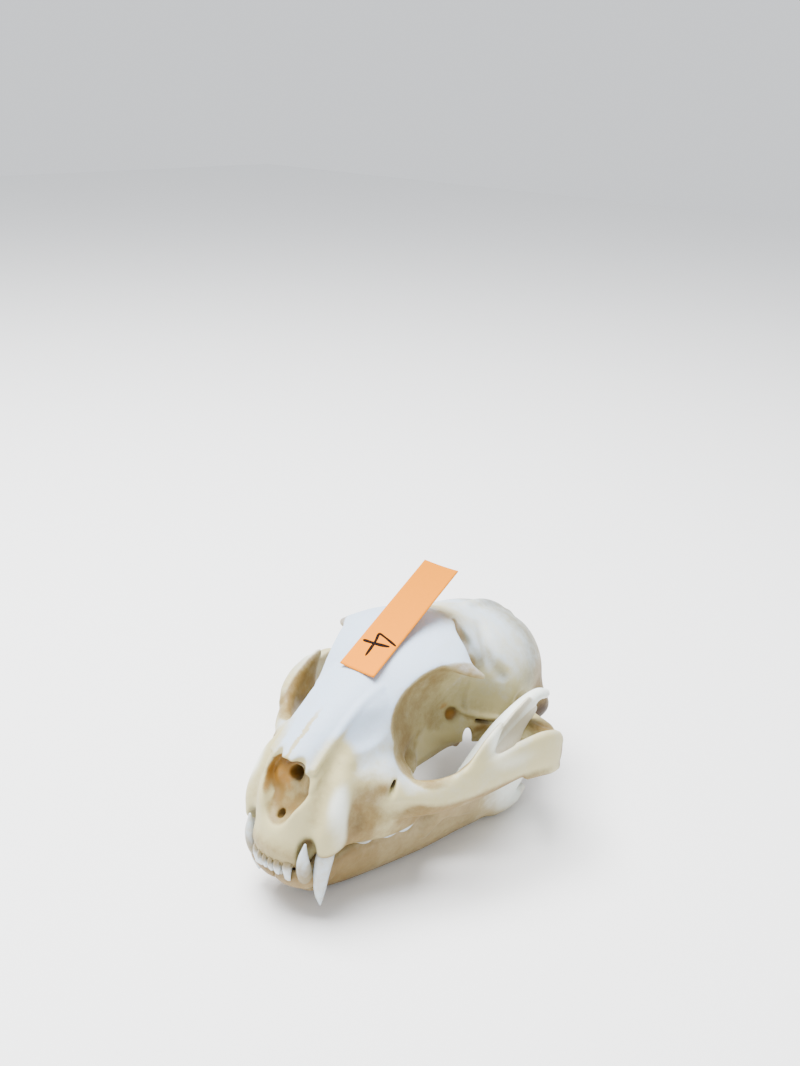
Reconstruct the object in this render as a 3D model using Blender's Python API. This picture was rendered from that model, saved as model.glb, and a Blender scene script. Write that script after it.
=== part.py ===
"""Caracal skull with its lower jaw closed under it and a numbered paper strip on the brow.

A still, life-size display model. The nose points along -Y, the animal's left is +X, the jaw stands on z = 0.
The bones melt into each other with fillets of chosen radius, which no primitive, loft or cage gives. So each
bone is a sum of plain forms in a field of signed distance, and the surface of zero distance becomes its mesh.
Blender's Decimate and Boolean modifiers then thin that mesh and part it along the seams between the bones.
"""
import itertools

import bpy
import bmesh
import numpy as np
from mathutils import Matrix

# Driving sizes in millimetres
MM = 0.001
STEP = 0.8                # spacing of the distance field
SEAM = 0.3                # gap between two bones
CLEARANCE = 0.8           # least gap between the skull and the lower jaw
CASE_HALF_WIDTH = 26.5    # brain case, widest
CASE_TOP = 67.6
FOREHEAD_TOP = 72.6
DOME_TOP = 74.9           # the broad frontal dome between the brows
INION = (62.5, 53.0)      # y and z of the hindmost point of the crown
NOSE_TIP = (-51.5, 47.0)  # y and z of the middle of the nasal roof at its front end
ARCH_HALF_WIDTH = 46.8    # outer face of the cheek arch
ARCH_HEIGHT = 39.0
BROW_CORNER = (27.6, 5.2, 63.9)  # hind corner of the eye socket's roof
CANINE_X = 13.0
CANINE_TIP_Z = 5.6
LOWER_CANINE_TIP_Z = 29.6
JAW_DEPTH = 15.0          # height of the jaw's body below the cheek teeth
CORONOID_TOP = 49.0
CONDYLE_Z = 26.2
STRIP_WIDTH, STRIP_LENGTH, STRIP_THICK = 13.0, 46.0, 0.5
STRIP_FOOT = (0.5, -21.8, 67.1)
STRIP_RISE = 26.2         # degrees from level

CHEEK_SEAM_X = 27.0       # where a cheekbone leaves the snout and meets the brain case
SNOUT_SEAM = (-16.0, 48.0)  # y and z of a point on the seam between snout and brain case
SNOUT_SEAM_LEAN = 18.4    # degrees from upright, the top towards the nose

SKULL_FACES, JAW_FACES = 9400, 4600   # triangles left after thinning

for stale in list(bpy.data.objects):
    bpy.data.objects.remove(stale, do_unlink=True)


def smooth_min(a, b, fillet):
    """The smaller of two distances, with a fillet where they are nearly equal."""
    h = np.maximum(fillet - np.abs(a - b), 0) / fillet
    return np.minimum(a, b) - h * h * (fillet / 4)


def curve_through(rows, per_span):
    """Catmull-Rom curve through the rows, whatever their columns hold."""
    q = np.vstack([2 * rows[0] - rows[1], rows, 2 * rows[-1] - rows[-2]])
    t = np.linspace(0, 1, per_span, endpoint=False)[:, None]
    spans = []
    for a, b, c, d in zip(q, q[1:], q[2:], q[3:]):
        spans.append(b + 0.5 * t * (c - a + t * (2 * a - 5 * b + 4 * c - d + t * (3 * (b - c) + d - a))))
    return np.vstack(spans + [rows[-1:]])


def ellipse_distance(offsets, radii):
    """Nearly the distance to an ellipsoid: exact at its surface, from the offsets along its axes."""
    near = np.sqrt(sum((o / r) ** 2 for o, r in zip(offsets, radii)))
    slope = np.sqrt(sum((o / r ** 2) ** 2 for o, r in zip(offsets, radii)))
    return near * (near - 1) / np.maximum(slope, 1e-6)


class Egg:
    """An ellipsoid, turned about z by a number of degrees."""

    def __init__(self, centre, radii, turn=0.0):
        self.centre, self.radii = np.array(centre, float), np.array(radii, float)
        self.axes = np.array(Matrix.Rotation(np.radians(turn), 3, 'Z'))

    def mirrored(self):
        twin = Egg(self.centre * (-1, 1, 1), self.radii)
        twin.axes = np.diag((-1, 1, 1)) @ self.axes
        return twin

    def pieces(self):
        reach = np.sqrt(((self.axes * self.radii) ** 2).sum(axis=1))
        yield self.centre - reach, self.centre + reach, self.distance

    def distance(self, x, y, z):
        p = (x - self.centre[0], y - self.centre[1], z - self.centre[2])
        return ellipse_distance([sum(p[i] * self.axes[i, k] for i in range(3)) for k in range(3)], self.radii)


class Strap:
    """An ellipse carried along a smooth path: half height `tall` along `up`, half width `thick` across it."""

    def __init__(self, path, tall, thick=None, up=(0, 0, 1), per_span=5):
        count = len(path)
        thick = tall if thick is None else thick
        columns = [np.array(path, float), np.broadcast_to(tall, count)[:, None],
                   np.broadcast_to(thick, count)[:, None], np.broadcast_to(np.array(up, float), (count, 3))]
        self.rows = curve_through(np.hstack(columns), per_span)

    def mirrored(self):
        twin = object.__new__(Strap)
        twin.rows = self.rows * (-1, 1, 1, 1, 1, -1, 1, 1)
        return twin

    def pieces(self):
        for a, b in zip(self.rows, self.rows[1:]):
            reach = max(a[3:5].max(), b[3:5].max())
            yield (np.minimum(a[:3], b[:3]) - reach, np.maximum(a[:3], b[:3]) + reach,
                   lambda x, y, z, a=a, b=b: self.distance(a, b, x, y, z))

    @staticmethod
    def distance(a, b, x, y, z):
        length = np.linalg.norm(b[:3] - a[:3])
        ahead = (b[:3] - a[:3]) / length
        up = a[5:] + b[5:]
        up = up - ahead * (up @ ahead)
        up = up / np.linalg.norm(up)
        side = np.cross(ahead, up)
        p = (x - a[0], y - a[1], z - a[2])
        along = sum(c * e for c, e in zip(p, ahead))
        t = np.clip(along / length, 0, 1)
        tall, thick = a[3] + (b[3] - a[3]) * t, a[4] + (b[4] - a[4]) * t
        offsets = [sum(c * e for c, e in zip(p, up)), sum(c * e for c, e in zip(p, side)), along - t * length]
        return ellipse_distance(offsets, [tall, thick, np.minimum(tall, thick)])


class Bone:
    """A box of space holding the signed distance to a bone, negative inside it."""

    def __init__(self, low, high):
        self.low, self.high = np.array(low, float), high
        counts = np.round((np.array(high) - self.low) / STEP).astype(int) + 1
        self.axes = [self.low[i] + STEP * np.arange(counts[i]) for i in range(3)]
        self.field = np.full(counts, 60.0)

    def window(self, low, high):
        first = np.clip(np.floor((low - self.low) / STEP).astype(int), 0, self.field.shape)
        last = np.clip(np.ceil((high - self.low) / STEP).astype(int) + 1, 0, self.field.shape)
        return tuple(slice(i, j) for i, j in zip(first, last)), bool((last > first).all())

    def put(self, form, fillet, sign, pair):
        for one in (form, form.mirrored()) if pair else (form,):
            near = np.full(self.field.shape, 60.0)
            for low, high, distance in one.pieces():
                place, inside = self.window(low - fillet - 2, high + fillet + 2)
                if inside:
                    x, y, z = (axis[s] for axis, s in zip(self.axes, place))
                    value = distance(x[:, None, None], y[None, :, None], z[None, None, :])
                    near[place] = np.minimum(near[place], value)
            touched = near < fillet + 2
            self.field[touched] = sign * smooth_min(sign * self.field[touched], near[touched], fillet)

    def add(self, form, fillet=2.0, pair=False):
        self.put(form, fillet, 1, pair)

    def cut(self, form, fillet=1.0, pair=False):
        self.put(form, fillet, -1, pair)

    def mesh(self, name):
        """Each cell is six tetrahedra round a diagonal, and each of those that the surface crosses gives a face.

        A face's corners lie on the tetrahedron's edges from an inner to an outer corner, where the distance
        passes through zero. This way of dividing space never lets two sheets of the surface share an edge.
        """
        d = np.where(np.abs(self.field) < 0.02, np.where(self.field < 0, -0.02, 0.02), self.field)
        inside = d < 0
        corners = list(itertools.product((0, 1), repeat=3))
        full = sum(inside[i:d.shape[0] - 1 + i, j:d.shape[1] - 1 + j, k:d.shape[2] - 1 + k].astype(np.int8)
                   for i, j, k in corners)
        steps = np.array([d.shape[1] * d.shape[2], d.shape[2], 1])
        first = np.argwhere((full > 0) & (full < 8)) @ steps
        patterns = {1: [(0, 1), (0, 2), (0, 3)], 2: [(0, 2), (0, 3), (1, 3), (1, 2)], 3: [(0, 3), (1, 3), (2, 3)]}
        faces = {3: [], 4: []}
        for order in itertools.permutations(range(3)):
            ids = first[:, None] + np.concatenate([[0], np.cumsum(steps[list(order)])])
            within = inside.ravel()[ids]
            flips = sum((~within[:, i] & within[:, j]).astype(int) for i, j in itertools.combinations(range(4), 2))
            flips += sum(order[i] > order[j] for i, j in itertools.combinations(range(3), 2))
            ids = np.take_along_axis(ids, np.argsort(~within, axis=1, kind='stable'), axis=1)
            for count, pattern in patterns.items():
                for odd in (0, 1):
                    chosen = ids[(within.sum(axis=1) == count) & (flips % 2 == odd)]
                    face = np.stack([chosen[:, pair] for pair in pattern[::-1 if odd else 1]], axis=1)
                    faces[len(pattern)].append(face)
        pairs = np.vstack([np.vstack(faces[n]).reshape(-1, 2) for n in (3, 4)])
        pairs, number = np.unique(pairs, axis=0, return_inverse=True)
        number = number.ravel()
        a, b = d.ravel()[pairs[:, 0]], d.ravel()[pairs[:, 1]]
        ends = [np.stack(np.unravel_index(pairs[:, i], d.shape), axis=1) for i in (0, 1)]
        points = (ends[0] + (a / (a - b))[:, None] * (ends[1] - ends[0])) * STEP + self.low
        triangles = 3 * sum(len(f) for f in faces[3])
        data = bpy.data.meshes.new(name)
        data.from_pydata((points * MM).tolist(), [], number[:triangles].reshape(-1, 3).tolist()
                         + number[triangles:].reshape(-1, 4).tolist())
        return data


# Brain case, crests, ear bulbs and the joints of jaw and neck
def brain_case(b):
    b.add(Egg((0, 30.4, CASE_TOP - 22.3), (CASE_HALF_WIDTH, 31, 22.3)), 2)
    b.add(Egg((0, 44.5, 43.5), (21.5, 18, 16.5)), 8)
    b.add(Egg((0, 13, 51), (18, 24, 20.8)), 8)
    b.add(Egg((0, 2, FOREHEAD_TOP - 17.6), (17, 25, 17.6)), 8)


def skull_base(b):
    y, z = INION
    b.add(Strap([(19, 33, 35), (28, 33, 34), (35, 32, 34)], [7.4, 4.8, 4]), 4, pair=True)
    b.add(Strap([(24, 37.3, 30), (34, 36.8, 29)], [2, 1.5]), 3, pair=True)
    b.add(Egg((16, 42.5, 29), (8.3, 13, 8.7), -12), 3, pair=True)
    b.add(Strap([(21.4, 46.6, 38.5), (23, 50.4, 32.5), (20.5, 53.5, 28)], [3.2, 3.6, 2.2]), 4, pair=True)
    b.add(Strap([(0, y, z), (9, 60, 50.8), (16.5, 54.5, 45.5), (21.8, 48, 39)], [2.2, 2.2, 2.2, 2.5],
                [1.6, 1.6, 1.6, 2]), 4, pair=True)
    b.add(Strap([(0, 36, 67.6), (0, 46, 64.6), (0, 56, 58.4), (0, y, z)], [1, 1.3, 2, 2], [1.2, 1.2, 1.4, 1.8]), 3)
    b.add(Egg((8.5, 60.5, 32.5), (4.6, 5.2, 6), 20), 3, pair=True)


# Muzzle: core, nasal roof, roots of the canines, edge that holds the cheek teeth
def muzzle(b):
    y, z = NOSE_TIP
    b.add(Strap([(0, -51.5, 31.5), (0, -46, 37), (0, -38, 41), (0, -30, 44), (0, -20, 49)],
                [6.5, 11.5, 14.2, 17, 17], [10.5, 12.4, 13.2, 15.5, 17]), 5)
    b.add(Strap([(0, y, z), (0, -42, 51.8), (0, -32, 56), (0, -22, 59.6)], [4.2, 5.2, 6, 6], [6.4, 7.4, 9, 12]), 4)
    b.add(Egg((0, -52.6, 24.6), (10.6, 7.5, 8.1)), 3)
    b.add(Strap([(CANINE_X + 0.2, -49, 26.8), (CANINE_X + 0.6, -48, 33), (13.2, -44.4, 41), (11.5, -40, 48.5)],
                [5, 4.9, 3.8, 2], [3.6, 4, 3.5, 2], up=(0, 1, 0.3)), 3, pair=True)
    b.add(Strap([(13, -44, 28), (16.2, -36, 26.6), (19.4, -27, 25.6), (21.4, -19.5, 26.4), (20, -14.5, 29.5)],
                [3.5, 4, 4.4, 4.2, 3.2], [3.2, 3.2, 3.3, 3.3, 3], up=(0.13, 0.21, 0.97)), 4, pair=True)
    b.add(Egg((0, -29, 30), (17, 25, 5)), 4)
    b.add(Egg((17, -28, 35.5), (7.6, 11, 10)), 6, pair=True)
    b.add(Strap([(12.2, -43, 36), (14.8, -36.8, 35.5), (17.6, -31, 35.5)], [8, 8.5, 8], [2.4, 2.6, 2.6]), 5, pair=True)


def throat_plates(b):
    b.add(Strap([(0, -18, 46), (0, -5, 47), (0, 10, 46), (0, 24, 44)], [14, 14, 14, 14], [9.5, 9.5, 10, 14]), 6)
    b.add(Strap([(9.5, -14, 33.5), (9, -2, 33), (8.6, 10, 31.8), (8.6, 23, 31)], [6.4, 6.6, 6.6, 6],
                [3, 1.9, 1.7, 1.7]), 3, pair=True)
    b.add(Strap([(8.4, 18.5, 28), (8.2, 22.5, 23.2)], [1.8, 1.1]), 2, pair=True)
    b.add(Egg((11.5, -13, 33.5), (4, 7, 4.6)), 3, pair=True)
    b.add(Egg((14, 29, 32), (7, 8.5, 6)), 4, pair=True)


# The frontal dome ends behind in the two temporal lines
def forehead(b):
    dome = Bone(b.low, b.high)
    dome.add(Egg((0, 4, DOME_TOP - 23.3), (32.7, 30.8, 23.3)))
    dome.cut(Egg((30, 0, 38), (20, 44, 22)), 3, pair=True)
    dome.cut(Egg((28.5, 30, 70), (24.2, 24.2, 40)), 0.8, pair=True)
    b.field = smooth_min(b.field, dome.field, 1.6)


# Eye sockets open backwards into the temples; their roof runs out to a sharp hind corner
def eye_sockets(b):
    b.cut(Egg((27.5, -8, 55), (17, 20.5, 15)), 2, pair=True)
    b.cut(Egg((28, -12, 48), (14, 15.5, 10)), 3, pair=True)
    b.cut(Egg((25, 7, 44.5), (12, 17, 11.5)), 9, pair=True)
    b.cut(Egg((31, 9, 53), (14, 17, 15)), 7, pair=True)


def brow(b):
    b.add(Strap([(14, 1, 69), (20, 1.6, 67.4), (24.4, 3.2, 65.6), BROW_CORNER], [2.6, 2, 1.5, 0.8],
                [5, 4.4, 2.6, 0.9]), 2, pair=True)


def cheek_arch(b):
    out = ARCH_HALF_WIDTH - 2.0
    path = [(19, -30, 35.5), (25.5, -24.5, 35), (31, -19, 35.5), (35.4, -11, ARCH_HEIGHT - 2.4),
            (38.6, -2, ARCH_HEIGHT - 1.6), (42, 8, ARCH_HEIGHT), (out, 16.5, ARCH_HEIGHT),
            (out + 0.2, 23.2, ARCH_HEIGHT - 3), (41.6, 28.4, 34.4), (35, 31.8, 34.2), (28, 32.5, 34.5)]
    b.add(Strap(path, [6, 5.8, 5.6, 6, 6, 6.4, 6.8, 6.4, 5.2, 4.4, 4], [5, 4, 3, 2.4, 2.1, 2, 2.1, 2.2, 2.5, 2.9, 3.6]),
          3, pair=True)
    b.add(Strap([(41.4, 7, 44.2), (out - 0.8, 15, 44.6), (out + 0.2, 20.5, 42.6), (out + 0.2, 24.6, 39.6)],
                [1, 1.3, 1.5, 1.4]), 1.5, pair=True)
    b.add(Strap([(43.6, 10, 32.8), (out + 0.6, 18, 31.6), (out + 0.4, 24.4, 30)], [1, 1.3, 1.5]), 1.5, pair=True)
    b.add(Strap([(35, -7.5, 39), (35.8, -4, 44), (36.1, 0, 48), (36.2, 4, 51)], [7.5, 5, 2.8, 1.0],
                [1.9, 1.6, 1.3, 0.9], up=(0, 1, 0)), 3, pair=True)


# The right arch bulges a little more in front than the left one and is lower behind
def right_arch(b):
    b.add(Strap([(-34.2, -16, 40), (-36.4, -11.4, 42.6), (-37.6, -6.5, 45.2), (-37.2, -2, 48.2)],
                [1.8, 2.4, 2.3, 1.5]), 2)
    b.cut(Strap([(-39.5, 7, 50), (-43, 13, 48.2), (-46, 20, 46.3), (-46.6, 26, 43.8)], 5), 1.5)


# Shallow forms: hollow and edge beside the nasal bone, hollows of the cheek, grooves of the temple, crest and notch
# between the throat plate and the ear bulb
def relief(b):
    b.cut(Egg((14.1, -33.6, 60.6), (5, 12, 9), -22), 1.2, pair=True)
    b.add(Strap([(8.8, -21, 64), (8.1, -29, 61.6), (7.9, -37, 57.4), (8, -44.5, 52.8), (8, -49, 49.6)], 0.9), 1.4,
          pair=True)
    b.cut(Egg((29.4, -30.6, 33.4), (9, 4, 4), 42), 2, pair=True)
    b.cut(Egg((24.7, -41.4, 36.6), (7, 7.2, 8.2)), 1.6, pair=True)
    b.cut(Strap([(9, 17.2, 71.5), (13.2, 14.8, 68.8), (16.6, 13.1, 64.5), (18.4, 14.8, 60.2)], [1, 1.8, 2.1, 1.6]), 1,
          pair=True)
    b.cut(Strap([(11.5, 29, 67.6), (16.9, 25, 64.6), (20.6, 23.2, 59.6), (23, 25, 54.4)], [1.3, 2.1, 2.4, 1.7]), 3,
          pair=True)
    b.cut(Strap([(19.4, 12, 35), (16.6, 16.4, 31.9), (12, 23.5, 26.6), (7.4, 30.6, 21.3)], 3.4, [1.7, 1.5, 1.5, 1.7]),
          0.6, pair=True)
    b.add(Strap([(12.6, 12.5, 43.4), (15.8, 16.8, 40.8), (19, 20.2, 39.2), (22.6, 24, 38.4)], 0.8), 1.2, pair=True)


# Nose opening with its sloping floor, pocket of the lower fang, hole for the spinal cord, hollow behind the palate
def openings(b):
    b.cut(Strap([(0, -66, 44), (0, -55, 43.6), (0, -46, 43.4), (0, -40, 43)], [8, 7.6, 7, 6], [7.8, 8, 7.6, 6]), 1.6)
    b.cut(Strap([(0, -66, 38.5), (0, -55, 38), (0, -46, 39)], [6, 5.6, 5], [4.6, 4.8, 5.4]), 2.4)
    b.add(Strap([(0, -53.5, 30.8), (0, -50, 33.2), (0, -45.8, 36.5), (0, -42, 41)], [2, 3.4, 5, 7], [4, 6, 7.5, 8]), 3)
    b.add(Egg((5.2, -43.6, 42), (3.2, 6, 6)), 1.6, pair=True)
    b.cut(Egg((10.7, -54.6, 25), (2.9, 3, 5.2)), 1.2, pair=True)
    b.cut(Strap([(0, 75, 35.5), (0, 60, 36.5), (0, 46, 40)], [7.2, 7, 6]), 1.2)
    b.cut(Strap([(0, -2, 27), (0, 10, 28), (0, 20, 26.5), (0, 26, 26)], [4, 7, 8, 8], [6, 5.8, 5.4, 5]), 1.5)


# Teeth: fangs and incisors are tapering pegs, cheek teeth are blades with peaks along a crest line
def blade(b, peaks, root, width=1.3):
    path = [(x, y, (root + tip) / 2) for x, y, tip in peaks]
    b.add(Strap(path, [abs(root - tip) / 2 for x, y, tip in peaks], width), 0.6, pair=True)


def upper_teeth(b):
    x, tip = CANINE_X, CANINE_TIP_Z
    b.add(Strap([(x, -47.5, 30), (x + 0.2, -49.4, 24), (x, -51, 17.5), (x - 0.3, -51.2, 11), (x - 0.6, -50.6, tip)],
                [3, 3.2, 2.7, 1.8, 0.6], [2.1, 2.4, 2.2, 1.5, 0.6], up=(0, 1, 0)), 0.6, pair=True)
    for x, y, width, tip in ((1.1, -59.6, 1, 17.8), (3.2, -59.3, 1.05, 17.4), (5.8, -58, 1.6, 15.8)):
        b.add(Strap([(x, y + 3, 24), (x, y + 0.4, 21), (x, y + 0.5, tip)], [1.4, 1.5, 0.8],
                    [width, width, width * 0.7], up=(0, 1, 0)), 0.6, pair=True)
    blade(b, [(15.6, -40, 24.6), (17, -36, 21.4), (18, -32.4, 22.6)], 28)
    blade(b, [(18.4, -31, 22), (19.4, -27.5, 19.9), (20.3, -24, 20.6), (21, -21.4, 19.4), (21.4, -18.4, 22)], 28)


def lower_teeth(b):
    b.add(Strap([(9.2, -51.6, 13), (9.8, -54.6, 18.4), (10.4, -56, 24), (10.9, -55.7, LOWER_CANINE_TIP_Z)],
                [2.5, 2.6, 1.9, 0.6], [2.1, 2.2, 1.6, 0.6], up=(0, 1, 0)), 0.6, pair=True)
    for x, y, width in ((1.3, -57, 1.0), (3.1, -56.6, 1.0), (5, -55.6, 1.1)):
        b.add(Strap([(x, y + 2, 14), (x, y, 17), (x, y + 0.3, 19)], [1.2, 1.2, 0.8],
                    [width, width, width * 0.8], up=(0, 1, 0)), 0.6, pair=True)
    blade(b, [(9.6, -40.4, 18.4), (10.4, -37.4, 21.6), (11.4, -34.4, 18.8)], 14)
    blade(b, [(11.6, -33, 19), (12.6, -29.6, 22.2), (13.8, -26, 19.4)], 14)
    blade(b, [(14.2, -24.6, 19.6), (15.2, -21.4, 22.6), (16.2, -18.2, 20.4), (17, -14.6, 22.4)], 14)


# Lower jaw: a leaning body, a thin upright blade, a roller for the joint and a hook at the lower corner
def jaw_body(b):
    half = JAW_DEPTH / 2
    b.add(Strap([(3.5, -49.5, 12.5), (5, -44.5, 10.5), (8, -36, 9.2), (12, -24, 8.6), (15.4, -13.5, 8.4),
                 (18.2, -4, 8.4), (20.6, 7, 8.4), (22.9, 15.6, 8.4), (25.2, 25, 8.6)],
                [5, 7.3, half + 0.4, half + 0.2, half, half, half, half, half - 0.4],
                [3.4, 4, 4, 3.8, 3.6, 3.4, 3.2, 3, 2.6], up=(0.36, 0, 0.93)), 2, pair=True)
    b.add(Strap([(9.4, -44, 15), (11, -36, 16), (13.6, -26, 16), (16.6, -16, 16.5), (19.5, -7, 18)],
                [3, 3.4, 3.6, 3.6, 3.4], [2.4, 2.6, 2.6, 2.4, 2.2], up=(0.3, 0, 0.95)), 4, pair=True)
    b.add(Strap([(7.2, -48, 12), (8.4, -52.6, 16)], [4.2, 3.9]), 4, pair=True)
    b.add(Egg((2.5, -53.6, 15), (6, 4, 4)), 3, pair=True)


def jaw_blade(b):
    top = CORONOID_TOP
    b.add(Strap([(24, 10, 14), (27, 13.5, 24), (29.3, 17, 32), (31.2, 21.5, 39.5), (32.8, 28.2, top - 3)],
                [18, 16.5, 14.5, 12, 7.6], [2.6, 2, 1.6, 1.3, 1.1], up=(0, 1, 0), per_span=9), 3, pair=True)
    b.add(Strap([(20, -11, 13), (23.5, -6.5, 20), (26.2, -3, 28), (28.4, 2.8, 36), (30, 12.5, 43),
                 (31.6, 23.5, top - 1.8), (32.9, 30.5, top - 0.6), (33.6, 34.6, top - 1.6)],
                [2, 2.2, 2.3, 2.3, 2.2, 2.1, 2, 1.6]), 2, pair=True)
    b.add(Strap([(25, 20, 10), (27.2, 27, 14), (29, 31, 21)], [7.5, 7.5, 5], [2.4, 2.2, 2.2], up=(0, -0.8, 0.6)), 4,
          pair=True)
    b.add(Strap([(21.5, 33, CONDYLE_Z - 0.4), (29.5, 33.5, CONDYLE_Z), (37, 32, CONDYLE_Z + 0.4)],
                [2.4, 2.8, 2.3]), 3, pair=True)
    b.add(Strap([(24.4, 24, 6), (26, 31, 4.8), (26.6, 37, 6.2)], [3, 2.6, 1.6]), 3, pair=True)


model = bpy.data.collections.new("caracal_skull")
cutters = bpy.data.collections.new("cutters")
for collection in (model, cutters):
    bpy.context.scene.collection.children.link(collection)


def place(name, data, collection=model):
    obj = bpy.data.objects.new(name, data)
    collection.objects.link(obj)
    return obj


def bake(obj):
    """Applies the modifiers and keeps only the largest closed surface."""
    view = bpy.context.evaluated_depsgraph_get()
    data = bpy.data.meshes.new_from_object(obj.evaluated_get(view))
    data.name = obj.name
    obj.modifiers.clear()
    obj.data = data
    bm = bmesh.new()
    bm.from_mesh(data)
    unseen, shells = set(bm.verts), []
    while unseen:
        shell, front = set(), [next(iter(unseen))]
        while front:
            vertex = front.pop()
            if vertex not in shell:
                shell.add(vertex)
                front.extend(edge.other_vert(vertex) for edge in vertex.link_edges)
        unseen -= shell
        shells.append(shell)
    keep = max(shells, key=len)
    bmesh.ops.delete(bm, geom=[v for v in bm.verts if v not in keep], context='VERTS')
    bmesh.ops.triangulate(bm, faces=bm.faces)
    bm.to_mesh(data)
    bm.free()
    return obj


def thinned(name, bone, faces):
    obj = place(name, bone.mesh(name), cutters)
    modifier = obj.modifiers.new("thin", 'DECIMATE')
    modifier.ratio = faces / sum(len(face.vertices) - 2 for face in obj.data.polygons)
    modifier.use_symmetry = True
    modifier.symmetry_axis = 'X'
    return bake(obj)


def region(name, centre, size, lean=0.0):
    """A box, leaning about x by a number of degrees, that marks the space of one bone."""
    data = bpy.data.meshes.new(name)
    bm = bmesh.new()
    bmesh.ops.create_cube(bm, size=1.0)
    bmesh.ops.scale(bm, vec=[s * MM for s in size], verts=bm.verts)
    bm.to_mesh(data)
    bm.free()
    box = place(name, data, cutters)
    box.location = [c * MM for c in centre]
    box.rotation_euler.x = np.radians(lean)
    box.hide_render = True
    box.display_type = 'WIRE'
    return box


def part_of(name, whole, keep=(), remove=()):
    obj = place(name, whole.data.copy())
    for operation, boxes in (('INTERSECT', keep), ('DIFFERENCE', remove)):
        for box in boxes:
            modifier = obj.modifiers.new(operation.lower(), 'BOOLEAN')
            modifier.operation = operation
            modifier.object = box
            modifier.solver = 'MANIFOLD'
    return bake(obj)


def finish(obj, colour, roughness):
    made = bpy.data.materials.new(obj.name)
    made.use_nodes = True
    shader = made.node_tree.nodes["Principled BSDF"]
    shader.inputs["Base Color"].default_value = (*colour, 1.0)
    shader.inputs["Roughness"].default_value = roughness
    shader.inputs["Metallic"].default_value = 0.0
    made.diffuse_color = (*colour, 1.0)
    obj.data.materials.clear()
    obj.data.materials.append(made)


skull = Bone((-50.4, -68.0, 1.6), (50.4, 72.0, 82.4))
for build in (brain_case, muzzle, throat_plates, skull_base, forehead, eye_sockets, brow, cheek_arch, right_arch,
              relief, openings, upper_teeth):
    build(skull)
jaws = Bone((-44.8, -64.0, -4.0), (44.8, 48.0, 56.0))
for build in (jaw_body, jaw_blade, lower_teeth):
    build(jaws)

# The two grids share their points, so the jaw can be kept clear of the skull point by point
first = np.round((jaws.low - skull.low) / STEP).astype(int)
shared = [slice(max(f, 0), min(f + n, m)) for f, n, m in zip(first, jaws.field.shape, skull.field.shape)]
moved = tuple(slice(s.start - f, s.stop - f) for s, f in zip(shared, first))
jaws.field[moved] = np.maximum(jaws.field[moved], CLEARANCE - skull.field[tuple(shared)])

whole_skull = thinned("whole_skull", skull, SKULL_FACES)
whole_jaw = thinned("whole_jaw", jaws, JAW_FACES)

# Each region is made twice, once on either side of its seam
lean = np.radians(SNOUT_SEAM_LEAN)
front, behind = (region(f"front_{i}", (0, SNOUT_SEAM[0] + (gap - 60) * np.cos(lean),
                                       SNOUT_SEAM[1] + (gap - 60) * np.sin(lean)), (160, 120, 160), SNOUT_SEAM_LEAN)
                 for i, gap in enumerate((-SEAM / 2, SEAM / 2)))
cheeks = {}
for side, sign in (("left", 1), ("right", -1)):
    cheeks[side] = [region(f"cheek_{side}_{i}", (sign * (CHEEK_SEAM_X + 20 + gap), -2, 32.5), (40, 86, 50))
                    for i, gap in enumerate((SEAM / 2, -SEAM / 2))]
halves = {side: region(f"half_{side}", (sign * (40 + SEAM / 2), 0, 30), (80, 200, 120))
          for side, sign in (("left", 1), ("right", -1))}
taken = [cheeks[side][1] for side in cheeks]

braincase = part_of("braincase", whole_skull, remove=[behind, *taken])
snout = part_of("snout", whole_skull, keep=[front], remove=taken)
finish(braincase, (0.80, 0.76, 0.67), 0.55)
finish(snout, (0.83, 0.80, 0.73), 0.5)
bones = [braincase, snout]
for side in ("left", "right"):
    cheekbone = part_of(f"cheekbone_{side}", whole_skull, keep=[cheeks[side][0]])
    jaw = part_of(f"lower_jaw_{side}", whole_jaw, keep=[halves[side]])
    finish(cheekbone, (0.78, 0.71, 0.57), 0.55)
    finish(jaw, (0.68, 0.57, 0.42), 0.5)
    bones += [cheekbone, jaw]

for whole in (whole_skull, whole_jaw):
    bpy.data.objects.remove(whole, do_unlink=True)

# Paper strip, stuck down by its front end and standing clear behind it
strip_data = bpy.data.meshes.new("number_strip")
bm = bmesh.new()
bmesh.ops.create_cube(bm, size=1.0)
bmesh.ops.subdivide_edges(bm, edges=[e for e in bm.edges if abs((e.verts[0].co - e.verts[1].co).y) > 0.5], cuts=5)
bmesh.ops.scale(bm, vec=(STRIP_WIDTH * MM, STRIP_LENGTH * MM, STRIP_THICK * MM), verts=bm.verts)
bmesh.ops.translate(bm, vec=(0, STRIP_LENGTH / 2 * MM, STRIP_THICK / 2 * MM), verts=bm.verts)
turn = Matrix.Translation([c * MM for c in STRIP_FOOT]) @ Matrix.Rotation(np.radians(STRIP_RISE), 4, 'X')
bmesh.ops.transform(bm, matrix=turn, verts=bm.verts)
bmesh.ops.triangulate(bm, faces=bm.faces)
bm.to_mesh(strip_data)
bm.free()
strip = place("number_strip", strip_data)
finish(strip, (1.0, 0.55, 0.22), 0.8)
bones.append(strip)

# The origin goes under the middle of the whole thing, at the floor
corners = np.array([v.co for obj in bones for v in obj.data.vertices])
low, high = corners.min(axis=0), corners.max(axis=0)
origin = bpy.data.objects.new("caracal_skull", None)
model.objects.link(origin)
for obj in bones:
    obj.data.transform(Matrix.Translation((-(low[0] + high[0]) / 2, -(low[1] + high[1]) / 2, -low[2])))
    if obj is not strip:
        obj.data.shade_smooth()
    obj.parent = origin
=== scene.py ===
"""Looks of the caracal skull: pale bone stained in its hollows, painted light and shade, enamelled teeth, a numbered
strip.
"""

import bpy
import numpy as np
from mathutils import Matrix, Vector


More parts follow.
